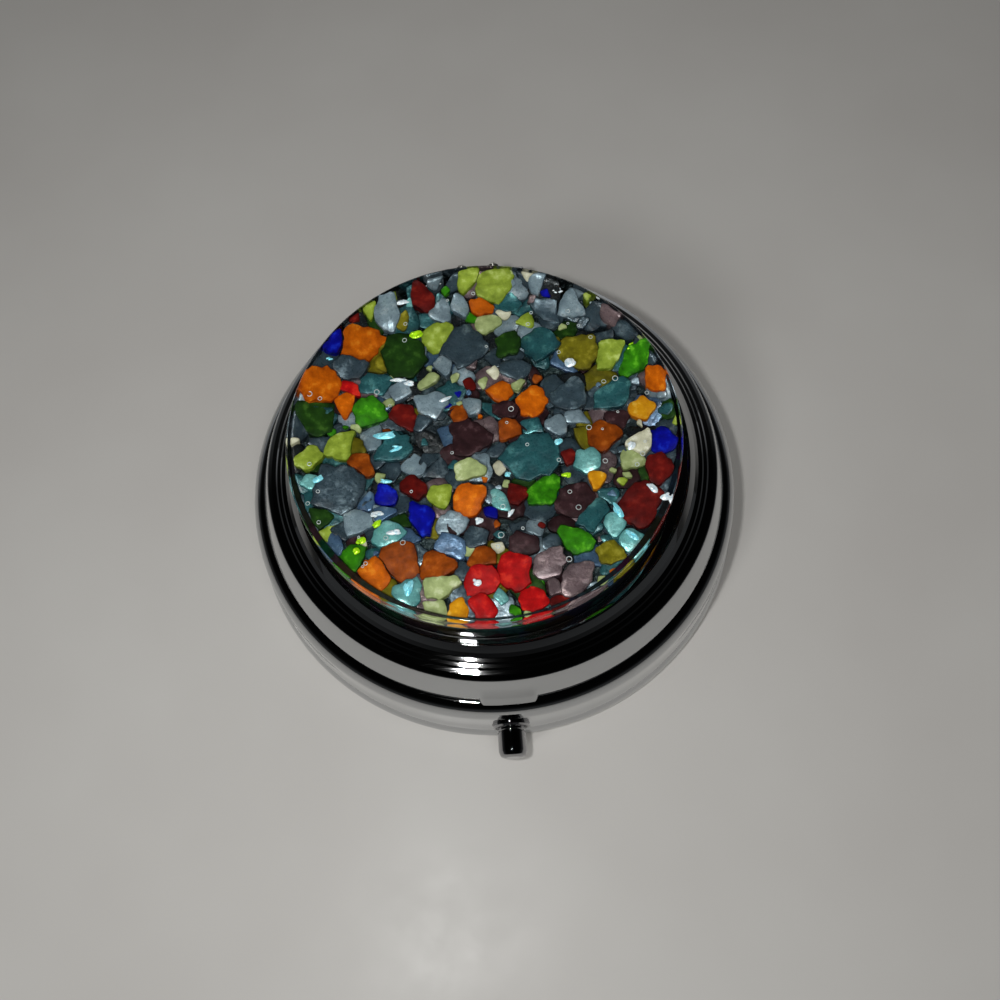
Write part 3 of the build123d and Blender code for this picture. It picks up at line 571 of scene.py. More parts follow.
# the side band with its rolled edge, the ringed top and the bezel that slopes up to the glass
lid_outer = rounded([
    (22.95, 8.45, 0), (*BAND_LOW, 0.35), (*BAND_HIGH, 0.7), (22.05, 11.6, 0.45), (21.55, 11.83, 0.35),
    (21.12, 11.93, 0.1), (20.95, 12.06, 0.1), (20.62, 12.14, 0.08), (20.48, 12.25, 0.08),
    (20.1, 12.35, 0.15), (19.75, 12.68, 0.3), (19.45, 13.0, 0.3), (19.2, 13.26, 0.08),
    (19.09, 13.28, 0.04), (19.05, 13.2, 0.03), (19.05, 13.05, 0.03), (18.95, 13.0, 0.02), (10.0, 13.0, 0),
], steps=5)
# straight runs of the band get rings of their own, for the lip to bend
band = [between(BAND_LOW, BAND_HIGH, step / 14) for step in range(3, 11)]
edge = next(i for i, p in enumerate(lid_outer) if p[1] > 9.2)
rolled_edge = [p for p in lid_outer[:edge] if p[1] < band[0][1]]
lid_profile = [(22.4, 8.5), (22.46, 8.45)] + rolled_edge + band + lid_outer[edge:]
lid_profile += [(0.0, 13.0), (0.0, 12.3), (10.0, 12.3), (18.7, 12.3)]
lid_profile += rounded([(18.7, 12.3, 0), (21.0, 11.65, 0.3), (21.55, 11.1, 0.2), (22.4, 8.5, 0)], 4)[1:-1]
lid_profile += [(21.75, 10.5), (21.98, 9.8), (22.2, 9.1)]

v, f = lathe(lid_profile, front_angles(), bend=lid_bend)
lid_shell = make_mesh("shell_lid", v, f, CHROME, None)
drill(lid_shell, [
    rod_y(RIVET_R, -LID_RIVET[0], LID_RIVET[1], 20.5, 24.0, 24),
    rod_y(RIVET_R, LID_RIVET[0], LID_RIVET[1], 20.5, 24.0, 24),
])
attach(lid_shell, "lid")
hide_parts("lid_shell")


# ======== push button ========
# (radius, distance along -Y, rounding): stud, shank, head with a turned groove, and a soft nose
button_profile = rounded([
    (0.0, 18.15, 0), (0.6, 18.15, 0.1), (0.6, 21.1, 0.03), (0.85, 21.1, 0.05), (0.85, 23.6, 0.03),
    (1.35, 23.6, 0.08), (1.35, 25.1, 0.05), (1.29, 25.16, 0.03), (1.29, 25.26, 0.03), (1.35, 25.32, 0.05),
    (1.35, 27.1, 0.3), (1.2, 27.53, 0.3), (0.8, 27.7, 0.25), (0.0, 27.7, 0),
], steps=6)
v, f = lathe(button_profile, even_angles(96), centre=(0.0, BUTTON_Z), axis="-Y")
button = make_mesh("button_turned", v, f, BUTTON_CHROME, "button", sharp_deg=50)
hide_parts("push_button")


# ======== the glass and what is fused inside it ========
def glass_wave(x, y):
    """Slight unevenness of a fire-polished surface, 0 to 1."""
    return 0.5 + 0.5 * noise.noise(Vector((x * 0.16, y * 0.16, 3.7)))


def glass_bend(a, r, h):
    """The top and the wall dip with the wave."""
    w = glass_wave(r * math.cos(a), r * math.sin(a))
    if h > 17.0:
        h -= 0.05 * w * min(1.0, (h - 17.0))
    if r > GLASS_R - 1.0:
        r -= 0.02 * w * (r - GLASS_R + 1.0)
    return r, h


glass_profile = [(0.0, GLASS_FLOOR), (9.0, GLASS_FLOOR), (GLASS_R - 0.35, GLASS_FLOOR)]
low_start, low_middle = (GLASS_R - 0.2, GLASS_FLOOR + 0.02), (GLASS_R - 0.05, GLASS_FLOOR + 0.08)
glass_profile += arc(low_start, low_middle, (GLASS_R, GLASS_FLOOR + 0.22), 4)
glass_profile += [(GLASS_R, z) for z in (13.7, 14.6, 15.6, 16.6, 17.2)]
glass_profile += arc((GLASS_R, 17.4), (GLASS_R - 0.09, 17.68), (GLASS_R - 0.35, 17.79), 10)
shares = (0.966, 0.95, 0.92, 0.87, 0.81, 0.74, 0.66, 0.58, 0.5, 0.42, 0.34, 0.26, 0.18, 0.1, 0.05, 0)
glass_profile += [(GLASS_R * t, GLASS_TOP - GLASS_DOME * (t / 0.975) ** 2.4) for t in shares]
v, f = lathe(glass_profile, even_angles(256), centre=(GLASS_X, GLASS_Y), bend=glass_bend)
glass = make_mesh("glass_disc", v, f, clear_glass(), "lid")
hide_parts("glass_puck")

# 8-bit sRGB colours of the heart, the border and the streaks
PALETTE = {
    "lime": ((168, 190, 70), (92, 112, 22), (205, 222, 130)),
    "pale": ((186, 200, 138), (116, 130, 78), (222, 228, 190)),
    "green": ((62, 150, 18), (18, 58, 10), (120, 205, 50)),
    "deepgreen": ((38, 74, 22), (10, 26, 12), (70, 110, 40)),
    "olive": ((132, 124, 26), (58, 54, 14), (170, 160, 60)),
    "orange": ((226, 112, 12), (140, 54, 4), (240, 150, 40)),
    "amber": ((236, 168, 26), (176, 100, 8), (250, 205, 90)),
    "rust": ((168, 78, 16), (80, 30, 6), (190, 104, 36)),
    "red": ((208, 22, 24), (120, 8, 12), (235, 60, 40)),
    "maroon": ((112, 22, 18), (46, 8, 10), (140, 42, 30)),
    "cobalt": ((10, 16, 168), (4, 6, 74), (30, 60, 210)),
    "teal": ((52, 112, 118), (18, 48, 56), (110, 176, 176)),
    "aqua": ((140, 210, 208), (52, 118, 120), (200, 240, 236)),
    "mist": ((156, 178, 190), (78, 96, 108), (206, 220, 226)),
    "slate": ((72, 92, 104), (28, 38, 46), (140, 160, 170)),
    "steelblue": ((92, 126, 160), (38, 56, 84), (150, 182, 206)),
    "plum": ((62, 38, 42), (24, 13, 16), (104, 78, 82)),
    "mauve": ((132, 112, 116), (66, 54, 58), (186, 166, 166)),
    "smoke": ((38, 44, 48), (12, 14, 16), (66, 74, 78)),
    "cream": ((232, 230, 204), (160, 158, 130), (252, 250, 236)),
}

# The larger chips, by colour: (x, y, radius) in mm, judged to the half millimetre.
CHIPS = {
    "lime": [(-0.5, 18, 1.1), (2, 17, 1.8), (-4, 12, 1.7), (-10.5, 15, 1), (5, 13, 0.8), (13, 8.5, 1.5),
        (-14, 0.5, 1.4), (-17, -0.5, 1.2), (-4.5, -5.5, 1.1), (-15, -8.5, 1.3)],
    "pale": [(1, 13, 1), (-5, 7, 0.7), (3.5, 5.5, 0.7), (-1.5, -3, 1.2), (-5, -14.5, 1.3), (-5.5, -16.5, 1),
        (14, -3, 1), (3, -18, 0.6), (10.5, -15.5, 0.8)],
    "green": [(-11, 4, 1.5), (15.5, 7.5, 1.6), (5.5, -6, 1.6), (8, -11, 1.2), (-13, -11, 1.3)],
    "deepgreen": [(-7.5, 10, 2.2), (-16, -7, 1.3), (3, 10.5, 1.6), (-16, 4, 1.9)],
    "olive": [(10, 9, 2.1), (-7.5, 14, 0.9), (11, -12.5, 1.3), (-9.5, 9.5, 0.8)],
    "orange": [(0.5, 15, 1.1), (-11.5, 11.5, 2.1), (-16, 7, 2.2), (-13.5, 5.5, 1.2), (2, 5, 1.2),
        (5, 3.5, 1.4), (17, 5, 1.2), (-2, -6, 1.7), (-11, -13, 1.8)],
    "amber": [(15.5, 2, 1.2), (-3.5, -17, 1), (10.5, -5, 0.8)],
    "rust": [(-2, 3, 0.9), (11.5, -0.5, 1.5), (2.5, 1, 1.2), (-12, -2, 1.1), (-8.5, -11.5, 2),
        (-5, -12.5, 1.5), (-1, -12, 1.1)],
    "red": [(-13, 6.5, 0.9), (-1, -14, 1.5), (-1, -17, 1.4), (2, -13.5, 1.7), (3.5, -16.5, 1.3)],
    "maroon": [(-5, 16, 1.3), (-12.5, 15, 1), (-14, 13.5, 0.8), (-7.5, 3, 1.3), (-7, -4.5, 1.2),
        (16.5, -4.5, 1.4), (14, -8, 2), (8, -2.5, 0.8), (2.5, -6, 1), (6, -17, 1)],
    "cobalt": [(-14.5, 11.5, 1.4), (-9.5, -5, 1.1), (-6.5, -7.5, 1.4), (17, -1.5, 1.3), (0, -7.5, 0.7),
        (-9, -16.5, 0.8)],
    "teal": [(4.5, -2, 2.4), (-9, -0.5, 1.6), (6, 10, 2), (13, 3.5, 1.6), (4.5, 1, 0.9), (3.5, 15.5, 1),
        (-10.5, 7, 1.5), (9.5, -8.5, 1.5)],
    "aqua": [(9.5, -3, 1.2), (11.5, -9.5, 1.2), (13, -11.5, 1.2), (-8, -15, 1.3), (-16.5, -3, 0.9),
        (-9.5, -9, 1.4), (1, -6.5, 0.9), (0.5, -16, 0.7)],
    "mist": [(-1.5, 15, 1), (-3.5, 14.5, 1.2), (-9, 14.5, 1.5), (-3.5, 8.5, 1), (-8, 6, 1), (-5, 4, 1.3),
        (-1, 3.5, 1), (-7, -2, 1.1), (-12.5, -7.5, 1.4), (-3.5, -8.5, 1.4), (9.5, 14, 1.2), (9, 2, 1),
        (7, 1, 0.9), (6.5, 17, 0.9)],
    "slate": [(-1.5, 10.5, 2.2), (-12.5, 9, 1.5), (3.5, 7.5, 1.2), (8.5, 4, 1.8), (7, 14, 1.3),
        (-6, 2.5, 0.9), (-14, -4, 2.6), (-1.5, -10, 1)],
    "steelblue": [(-4, -10.5, 1.4), (-12, -5.5, 1), (-10, -7, 0.8)],
    "plum": [(-1.5, 0.5, 2), (2.5, 3, 1.2), (3, -11, 1.3), (13, 1.5, 1.2), (8, -7, 2)],
    "mauve": [(5, -13, 1.5), (7.5, -15, 1.7), (5.5, -15.5, 0.8), (13.5, 12.5, 1.2)],
    "cream": [(6, 18, 1), (15, -1.5, 1.3)],
}
# the colours through which the foil sparkles
SEE_THROUGH = ("teal", "aqua", "mist", "slate", "steelblue", "smoke", "mauve")
# the quieter fragments that lie under and between them, and the small bright bits among them
UNDER = ["slate", "slate", "teal", "mist", "smoke", "slate", "plum", "deepgreen", "steelblue", "mauve",
         "teal", "slate", "mist", "olive", "smoke"]
BITS = ["aqua", "lime", "pale", "mist", "orange", "maroon", "teal", "steelblue", "cream", "rust", "mist",
        "slate", "cobalt", "mauve", "green"]

rng = random.Random(41)


def front_share(sine):
    """0 at the back and sides of the disc, rising to 1 at the front, for a direction's sine."""
    t = min(max((-sine + 0.15) / 0.85, 0.0), 1.0)
    return t * t * (3 - 2 * t)


def scatter(count, low, high, spread, colours, taken, crowd):
    """Random sites (x, y, radius, colour) on the disc that keep their distance from those taken."""
    out = []
    for _ in range(count):
        a, d = rng.uniform(0, TAU), CHIP_LIMIT * math.sqrt(rng.random())
        x, y, r = GLASS_X + d * math.cos(a), GLASS_Y + d * math.sin(a), rng.uniform(low, high)
        clear = all(math.hypot(x - s[0], y - s[1]) > (s[2] + r) * spread for s in out)
        clear = clear and all(math.hypot(x - s[0], y - s[1]) > (s[2] + r) * crowd for s in taken)
        if clear:
            out.append((x, y, r, rng.choice(colours)))
    return out


heroes = [(GLASS_X + x * CHIP_SCALE, GLASS_Y + y * CHIP_SCALE, r * CHIP_SCALE, colour)
          for colour, spots in CHIPS.items() for x, y, r in spots]
under = scatter(6000, 0.8, 1.7, spread=0.80, colours=UNDER, taken=[], crowd=0.0)
bits = scatter(420, 0.22, 0.6, spread=1.0, colours=BITS, taken=heroes, crowd=0.92)


def clip(poly, nx, ny, d):
    """The part of a convex polygon where nx*x + ny*y <= d."""
    out = []
    for i, p in enumerate(poly):
        q = poly[(i + 1) % len(poly)]
        sp, sq = nx * p[0] + ny * p[1] - d, nx * q[0] + ny * q[1] - d
        if sp <= 0:
            out.append(p)
        if (sp < 0 < sq) or (sq < 0 < sp):
            out.append(between(p, q, sp / (sp - sq)))
    return out


def cell(i, sites, stretch, joint, cuts):
    """The outline of chip i: its share of the disc against its neighbours, with a few random breaks."""
    x, y, r = sites[i][:3]
    reach = r * stretch
    start, squeeze = rng.uniform(0, TAU), rng.uniform(0.7, 1.0)
    ca, sa = math.cos(start), math.sin(start)
    poly = []
    for k in range(20):
        u, w = reach * math.cos(TAU * k / 20) / squeeze, reach * math.sin(TAU * k / 20) * squeeze
        poly.append((x + u * ca - w * sa, y + u * sa + w * ca))
    for k in range(cuts):
        a = start + TAU * (k + rng.uniform(-0.3, 0.3)) / cuts
        nx, ny = math.cos(a), math.sin(a)
        poly = clip(poly, nx, ny, nx * x + ny * y + r * rng.uniform(0.72, 1.1))
    for j, s in enumerate(sites):
        dx, dy = s[0] - x, s[1] - y
        far = math.hypot(dx, dy)
        if j == i or far > reach + s[2] * 1.6:
            continue
        along = (far * far + r * r - s[2] * s[2]) / (2 * far) - joint
        nx, ny = dx / far, dy / far
        poly = clip(poly, nx, ny, nx * x + ny * y + along)
        if len(poly) < 3:
            return None
    # the chips stop short at the front, where the painted-shade rim stands
    for k in range(40):
        nx, ny = math.cos(TAU * k / 40), math.sin(TAU * k / 40)
        poly = clip(poly, nx, ny, nx * GLASS_X + ny * GLASS_Y + CHIP_LIMIT - FRONT_SHADE_RIM * front_share(ny))
        if len(poly) < 3:
            return None
    return poly


def soften(poly, rounds, share):
    """Cut the corners of an outline, several times over."""
    for _ in range(rounds):
        out = []
        for i, p in enumerate(poly):
            q = poly[(i + 1) % len(poly)]
            out += [between(p, q, share), between(q, p, share)]
        poly = out
    return poly


def resample(poly, n):
    """n points at even distances along an outline."""
    pts = [Vector(p) for p in poly]
    steps = [(pts[(i + 1) % len(pts)] - p).length for i, p in enumerate(pts)]
    total = sum(steps)
    out, i, run = [], 0, 0.0
    for k in range(n):
        want = total * k / n
        while run + steps[i] < want:
            run += steps[i]
            i += 1
        t = (want - run) / max(steps[i], 1e-9)
        out.append(pts[i].lerp(pts[(i + 1) % len(pts)], t))
    return out


RING = 26  # points round a chip


def chip(poly, low, high, seed):
    """A closed pebble of glass on an outline: vertices, faces and how near the heart each vertex is."""
    ring = resample(soften(poly, 2, 0.14), RING)
    centre = sum(ring, Vector((0, 0))) / RING
    size = sum((p - centre).length for p in ring) / RING
    swell = [1 + 0.22 * noise.noise(Vector((p.x * 1.5, p.y * 1.5, seed))) for p in ring]
    ring = [centre + (p - centre) * k for p, k in zip(ring, swell)]
    tilt = (rng.uniform(-0.16, 0.16), rng.uniform(-0.16, 0.16))
    thick = high - low
    bevel = min(0.09, 0.2 * thick)
    # share of the outline, height, and how near the heart
    layers = [(0.94, low, 0.0), (0.99, low + 0.1 * thick, 0.0), (1.0, high - bevel, 0.15),
              (0.985, high - 0.35 * bevel, 0.35), (0.94, high - 0.06 * bevel, 0.6), (0.6, high, 0.9)]
    verts, heart, faces = [(centre.x, centre.y, low)], [0.0], []
    for scale, z, h in layers:
        for p in ring:
            q = centre + (p - centre) * scale
            zz = z
            if z > low + 0.5 * thick:
                zz += climb(q.x, q.y)
                zz += tilt[0] * (q.x - centre.x) + tilt[1] * (q.y - centre.y)
                zz += 0.07 * size * noise.noise(Vector((q.x * 1.3, q.y * 1.3, seed + 9.0)))
            verts.append((q.x, q.y, min(max(zz, low + 0.02), CHIP_CEILING)))
            heart.append(h)
    crown = high + 0.01 * size + climb(centre.x, centre.y)
    verts.append((centre.x, centre.y, min(crown, CHIP_CEILING + 0.03)))
    heart.append(1.0)
    for i in range(RING):
        j = (i + 1) % RING
        faces.append((0, 1 + j, 1 + i))
        for k in range(len(layers) - 1):
            a, b = 1 + k * RING, 1 + (k + 1) * RING
            faces.append((a + i, a + j, b + j, b + i))
        top = 1 + (len(layers) - 1) * RING
        faces.append((top + i, top + j, len(verts) - 1))
    return verts, faces, heart


def climb(x, y):
    """How far the chips rise towards the rim at the back of the disc."""
    d = math.hypot(x - GLASS_X, y - GLASS_Y)
    t = min(max((d - 14.6) / 3.4, 0.0), 1.0)
    back = min(max(((y - GLASS_Y) / max(d, 0.01) + 0.25) / 0.7, 0.0), 1.0)
    return 2.3 * t * t * back * back * (3 - 2 * back)


def point_values(obj, name, values):
    """Store one number for each vertex, for the material to read."""
    layer = obj.data.attributes.new(name, "FLOAT", "POINT")
    layer.data.foreach_set("value", np.array(values, np.float32))


groups = {}  # for each colour: vertices, faces, how near the heart, and tone


def lay(sites, stretch, joint, cuts, floors, thicks, tones):
    """Make the chips of one layer and add them to the mesh of their colour."""
    for i, (x, y, r, colour) in enumerate(sites):
        outline = cell(i, sites, stretch, joint, rng.choice(cuts))
        if outline is None:
            continue
        low = CHIP_FLOOR + rng.uniform(*floors)
        v, f, h = chip(outline, low, low + rng.uniform(*thicks), i * 0.37)
        g = groups.setdefault(colour, ([], [], [], []))
        g[1].extend(tuple(k + len(g[0]) for k in face) for face in f)
        g[0].extend(v)
        g[2].extend(h)
        g[3].extend([rng.uniform(*tones)] * len(v))


# floors and thicks are the heights above CHIP_FLOOR and the thicknesses to draw from
lay(under, 1.8, -0.05, cuts=(2, 3), floors=(0.0, 0.15), thicks=(0.45, 1.05), tones=(0.18, 0.72))
lay(heroes, 1.46, -0.015, cuts=(2, 3, 4), floors=(0.35, 0.6), thicks=(0.7, 1.3), tones=(0.62, 1.0))
lay(bits, 1.4, 0.0, cuts=(2, 3, 4), floors=(0.5, 0.9), thicks=(0.3, 0.7), tones=(0.5, 1.0))

for colour, (v, f, hearts, tones) in groups.items():
    core, edge, streak = (srgb(*c) for c in PALETTE[colour])
    material = chip_glass("glass_" + colour, core, edge, streak, colour in SEE_THROUGH)
    piece = make_mesh("chips_" + colour, v, f, material, "lid", sharp_deg=70)
    point_values(piece, "heart", hearts)
    point_values(piece, "tone", tones)
    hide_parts("mosaic_layer")

# ---- the bed of crushed glass and crinkled foil that shows between the chips ----
bed_profile = [(0.0, BED_FLOOR), (9.0, BED_FLOOR), (GLASS_R - 0.45, BED_FLOOR)]
bed_profile += [(GLASS_R - 0.25, BED_FLOOR + 0.05)]
bed_profile += [(r, BED_TOP) for r in np.linspace(GLASS_R - 0.35, 0.5, 74)] + [(0.0, BED_TOP)]


def bed_bend(a, r, h):
    """The top of the bed is crumpled, and its underside is flat."""
    if h > (BED_FLOOR + BED_TOP) / 2:
        x, y = r * math.cos(a), r * math.sin(a)
        crumple = noise.noise(Vector((x * 1.1, y * 1.1, 1.0)))
        crumple += 0.6 * noise.noise(Vector((x * 2.6, y * 2.6, 5.0)))
        h += 0.16 * crumple
    return r, h


def crushed_bed():
    m = Nodes("crushed_glass_bed")
    grains = m.cells(0.7)
    fine = m.noise(0.35, 4.0, 0.65)
    tint = m.noise(3.0, 2.0, 0.5)
    base = m.mix(m.remap(fine, 0.0, 1.0), srgb(70, 84, 92), srgb(26, 33, 38))
    base = m.mix(m.remap(tint, 0.0, 0.6), base, srgb(44, 66, 62))
    m.set(Base_Color=base, Metallic=0.45, Roughness=m.remap(fine, 0.22, 0.5))
    m.bump(m.math("ADD", m.math("MULTIPLY", grains.outputs["Distance"], 1.5), fine), 0.15, 1.0)
    return m.mat


v, f = lathe(bed_profile, even_angles(220), centre=(GLASS_X, GLASS_Y), bend=bed_bend)
bed = make_mesh("mosaic_bed", v, f, crushed_bed(), "lid", sharp_deg=80)
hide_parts("mosaic_layer")


# ---- painted shade: the dark glass round the chips, wide at the front and only a low kerb at the back ----
def rim_bend(a, r, h):
    """Widens the rim inwards at the front, and lowers it at the back."""
    share = front_share(math.sin(a))
    if r < GLASS_R - 0.15:
        r -= (FRONT_SHADE_RIM - 0.1) * share
    if h > 14.0:
        h -= 1.8 * (1 - share)
    return r, h


def painted_shade_rim():
    # painted shade: near-black glass that paints the dark look of the glass's front wall
    m = Nodes("dark_rim_glass")
    fine = m.noise(0.6, 3.0, 0.6)
    tint = m.mix(0.55, m.cells(2.2).outputs["Color"], srgb(60, 90, 96))
    m.set(
        Base_Color=m.mix(m.remap(fine, 0.93, 0.985), tint, srgb(3, 4, 4)),
        Roughness=m.remap(fine, 0.25, 0.5),
        Specular_IOR_Level=0.05,
    )
    m.bump(fine, 0.02, 0.6)
    return m.mat


rim_middle = ((RIM_OUT + RIM_IN) / 2, RIM_FLOOR, 0)
rim_profile = rounded([
    rim_middle, (RIM_OUT, RIM_FLOOR, 0.03), (RIM_OUT, RIM_TOP, 0.05), (RIM_IN + 0.04, RIM_TOP + 0.05, 0.04),
    (RIM_IN, RIM_FLOOR, 0.03), rim_middle,
], 3)[1:-1]
# more rings up the outer wall, for the back to bend
rim_profile = rim_profile[:3] + [(RIM_OUT, 13.6), (RIM_OUT, 13.9), (RIM_OUT, 14.2)] + rim_profile[3:]
v, f = lathe(rim_profile, even_angles(220), centre=(GLASS_X, GLASS_Y), bend=rim_bend)
rim = make_mesh("mosaic_painted_shade_rim", v, f, painted_shade_rim(), "lid", sharp_deg=50)
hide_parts("mosaic_layer")


# ---- bubbles, each drawn as a thin ring that glows as a painted highlight, and flakes that glow as painted glints ----
def ring_mesh(x, y, z, radius, lean):
    """A small torus at (x, y, z), leaning over a little."""
    n, m, tube = 14, 6, 0.035
    verts, faces = [], []
    for i in range(n):
        a = TAU * i / n
        for j in range(m):
            b = TAU * j / m
            rr = radius + tube * math.cos(b)
            px, py = rr * math.cos(a), rr * math.sin(a)
            verts.append((x + px, y + py, z + tube * math.sin(b) + lean[0] * px + lean[1] * py))
    for i in range(n):
        for j in range(m):
            k, l = (i + 1) % n, (j + 1) % m
            faces.append((i * m + j, k * m + j, k * m + l, i * m + l))
    return verts, faces


def join(parts):
    """Several meshes as one."""
    verts, faces = [], []
    for v, f in parts:
        faces.extend(tuple(k + len(verts) for k in face) for face in f)
        verts.extend(v)
    return verts, faces


def flake(x, y, z, length, width, turn, seed):
    """A thin crumpled scrap: a closed lens with an uneven outline."""
    n, verts, faces = 14, [], []
    for level in (-1, 1):
        for i in range(n):
            a = TAU * i / n
            k = 1 + 0.35 * noise.noise(Vector((math.cos(a) * 1.2, math.sin(a) * 1.2, seed)))
            u, w = length * k * math.cos(a), width * k * math.sin(a)
            shrink = 1.0 if level < 0 else 0.82
            verts.append((x + (u * math.cos(turn) - w * math.sin(turn)) * shrink,
                          y + (u * math.sin(turn) + w * math.cos(turn)) * shrink, z + 0.03 * level))
    verts += [(x, y, z - 0.04), (x, y, z + 0.07)]
    for i in range(n):
        j = (i + 1) % n
        faces += [(i, j, n + j, n + i), (2 * n, j, i), (2 * n + 1, n + i, n + j)]
    return verts, faces


def glint_glow_glass(name, light, dark, strength):
    """Bright glass that shines a little by itself, as a painted glint."""
    m = Nodes(name)
    shade = m.noise(0.3, 3.0, 0.6)
    tint = m.mix(m.remap(shade, 0.0, 1.0), light, dark)
    m.set(Base_Color=tint, Roughness=m.remap(shade, 0.15, 0.35), Metallic=0.3)
    # painted glint: the tint is emitted as light
    m.link(tint, m.bsdf.inputs["Emission Color"])
    m.bsdf.inputs["Emission Strength"].default_value = strength
    m.bump(shade, 0.05, 0.6)
    return m.mat


BUBBLES = 48
BUBBLE_REACH = 17.6  # how far from the middle they lie
# painted highlight: the bubbles' bright rims are glowing white rings in the glass
BUBBLE_GLINT_RIM = glint_glow_glass("painted_bubble_glint", srgb(240, 246, 246), srgb(170, 186, 188), 0.2)

parts = []
for _ in range(BUBBLES):
    a, d = rng.uniform(0, TAU), BUBBLE_REACH * math.sqrt(rng.random())
    x, y, z = GLASS_X + d * math.cos(a), d * math.sin(a), rng.uniform(15.7, 16.9)
    size = rng.uniform(0.10, 0.26)
    lean = (rng.uniform(-0.2, 0.2), rng.uniform(-0.2, 0.2))
    parts.append(ring_mesh(x, y, z, size, lean))
v, f = join(parts)
bubbles = make_mesh("glass_bubble_glint_rings", v, f, BUBBLE_GLINT_RIM, "lid", sharp_deg=80)
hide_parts("mosaic_layer")

# (x, y, half length, half width, turn in degrees) of the brightest painted glints, flakes that glow, by
# colour, judged one by one
PAINTED_GLINTS = {
    "white": [(-4, 17.8, 0.8, 0.14, 12), (0, 18.2, 0.9, 0.14, 0), (4.8, 17.6, 0.8, 0.22, -14),
        (7, 16.8, 0.7, 0.18, -22), (-7.5, 16, 0.8, 0.35, 10), (-8, 7, 0.8, 0.2, -20),
        (-7, 6.5, 0.5, 0.25, 0), (15.5, -6.5, 0.6, 0.3, -40), (16.5, -7.5, 0.5, 0.3, 20),
        (9, 7.5, 0.5, 0.5, 0), (-1, -8.5, 0.4, 0.3, 30), (-9, -9, 0.7, 0.25, 0), (-10.5, -7, 0.6, 0.25, 15),
        (2, -8, 0.5, 0.15, 60), (8.5, 16, 0.4, 0.2, 30), (-1.5, -14.5, 0.35, 0.3, 0),
        (14, -2, 0.5, 0.3, 45), (-3.5, 4.5, 0.6, 0.2, 20), (12, 14, 0.5, 0.3, -30)],
    "cyan": [(-9.5, 1, 1.1, 0.35, 0), (-8.5, -0.5, 0.7, 0.2, 10), (7, -1, 0.35, 0.3, 0),
        (-9.5, -3.8, 0.5, 0.2, 0), (-15, 10, 0.5, 0.2, 10), (2, -4, 0.3, 0.25, 0), (12, -8.5, 0.3, 0.8, 20),
        (13, -11, 0.3, 0.7, 35), (-7.8, -14.5, 0.35, 0.7, -15), (-16, -3, 0.5, 0.3, 40)],
    "limeglow": [(-6, 12, 0.7, 0.4, 20), (-12, -9.5, 0.45, 0.35, 0), (-12.5, -10.5, 0.35, 0.3, 0),
        (15.5, 9, 0.8, 0.25, 10), (7.5, -4.5, 0.4, 0.25, 20), (-10.5, -8, 0.45, 0.3, 30)],
}
# painted glints: the flakes glow in these colours
GLINT_GLOWS = {
    "white": glint_glow_glass("painted_glint_white", srgb(250, 252, 252), srgb(150, 176, 190), 0.45),
    "cyan": glint_glow_glass("painted_glint_cyan", srgb(170, 240, 250), srgb(70, 170, 190), 0.4),
    "limeglow": glint_glow_glass("painted_glint_lime", srgb(190, 240, 30), srgb(120, 180, 10), 0.4),
}
for colour, spots in PAINTED_GLINTS.items():
    parts = []
    for k, (x, y, length, width, turn) in enumerate(spots):
        for n in range(3):
            # the first flake lies on the spot, and two smaller ones beside it
            dx, dy = rng.uniform(-0.35, 0.35), rng.uniform(-0.25, 0.25)
            share = 1.0 if n == 0 else rng.uniform(0.35, 0.6)
            fx = GLASS_X + CHIP_SCALE * x + dx * (n > 0)
            fy = CHIP_SCALE * y + dy * (n > 0)
            fz = FLAKE_Z + 0.12 * n
            angle = math.radians(turn + rng.uniform(-20, 20))
            parts.append(flake(fx, fy, fz, length * share, width * share, angle, k * 3.1 + n))
    v, f = join(parts)
    piece = make_mesh("painted_glints_" + colour, v, f, GLINT_GLOWS[colour], "lid", sharp_deg=60)
    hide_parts("mosaic_layer")


# ======== the other CAD nodes keep their shapes and get real materials ========
SPRING = steel("spring_steel", (0.60, 0.61, 0.63), 0.18, (3.0, 3.0, 3.0), 0.2)
PLATED = steel("nickel_plated_steel", (0.68, 0.67, 0.65), 0.20)
CARRIED = {
    "compartment_tray": plastic("tray_ivory", srgb(232, 229, 218), srgb(218, 214, 200)),
    "lid_liner": plastic("liner_ivory", srgb(228, 226, 218), srgb(212, 209, 198), 0.26),
    "latch_cover": CHROME,
    "button_bush": BUTTON_CHROME,
    "base_hinge_leaf": CHROME,
    "lid_hinge_leaf": CHROME,
    "hinge_pin": SPRING,
    "torsion_spring": SPRING,
    "return_spring": SPRING,
    "latch_hook": SPRING,
    "retaining_clip": SPRING,
    "base_hinge_rivets": PLATED,
    "lid_hinge_rivets": PLATED,
    "latch_bracket": PLATED,
    "cover_screws": PLATED,
    "lid_catch": PLATED,
    "mirror": mirror_glass(),
    "glass_foil": foil_backing(),
    "glass_adhesive": cured_glue(),
}
for name, material in CARRIED.items():
    node = NODES[name]
    for s in node.material_slots:
        s.material = material

# ---- foam pad behind the mirror: a die-cut disc whose edge bulges under pressure ----
low, high = (c.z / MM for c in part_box("mirror_pad"))
pad_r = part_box("mirror_pad")[1].x / MM
pad_mid = (low + high) / 2
pad_profile = [(0.0, low), (9.0, low), (pad_r - 0.3, low)]
pad_profile += arc((pad_r - 0.25, low + 0.01), (pad_r - 0.02, pad_mid), (pad_r - 0.25, high - 0.01), 8)
pad_profile += [(pad_r - 0.3, high), (9.0, high), (0.0, high)]
v, f = lathe(pad_profile, even_angles(128))
pad = make_mesh("foam_mirror_pad", v, f, foam(), "lid")
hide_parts("mirror_pad")


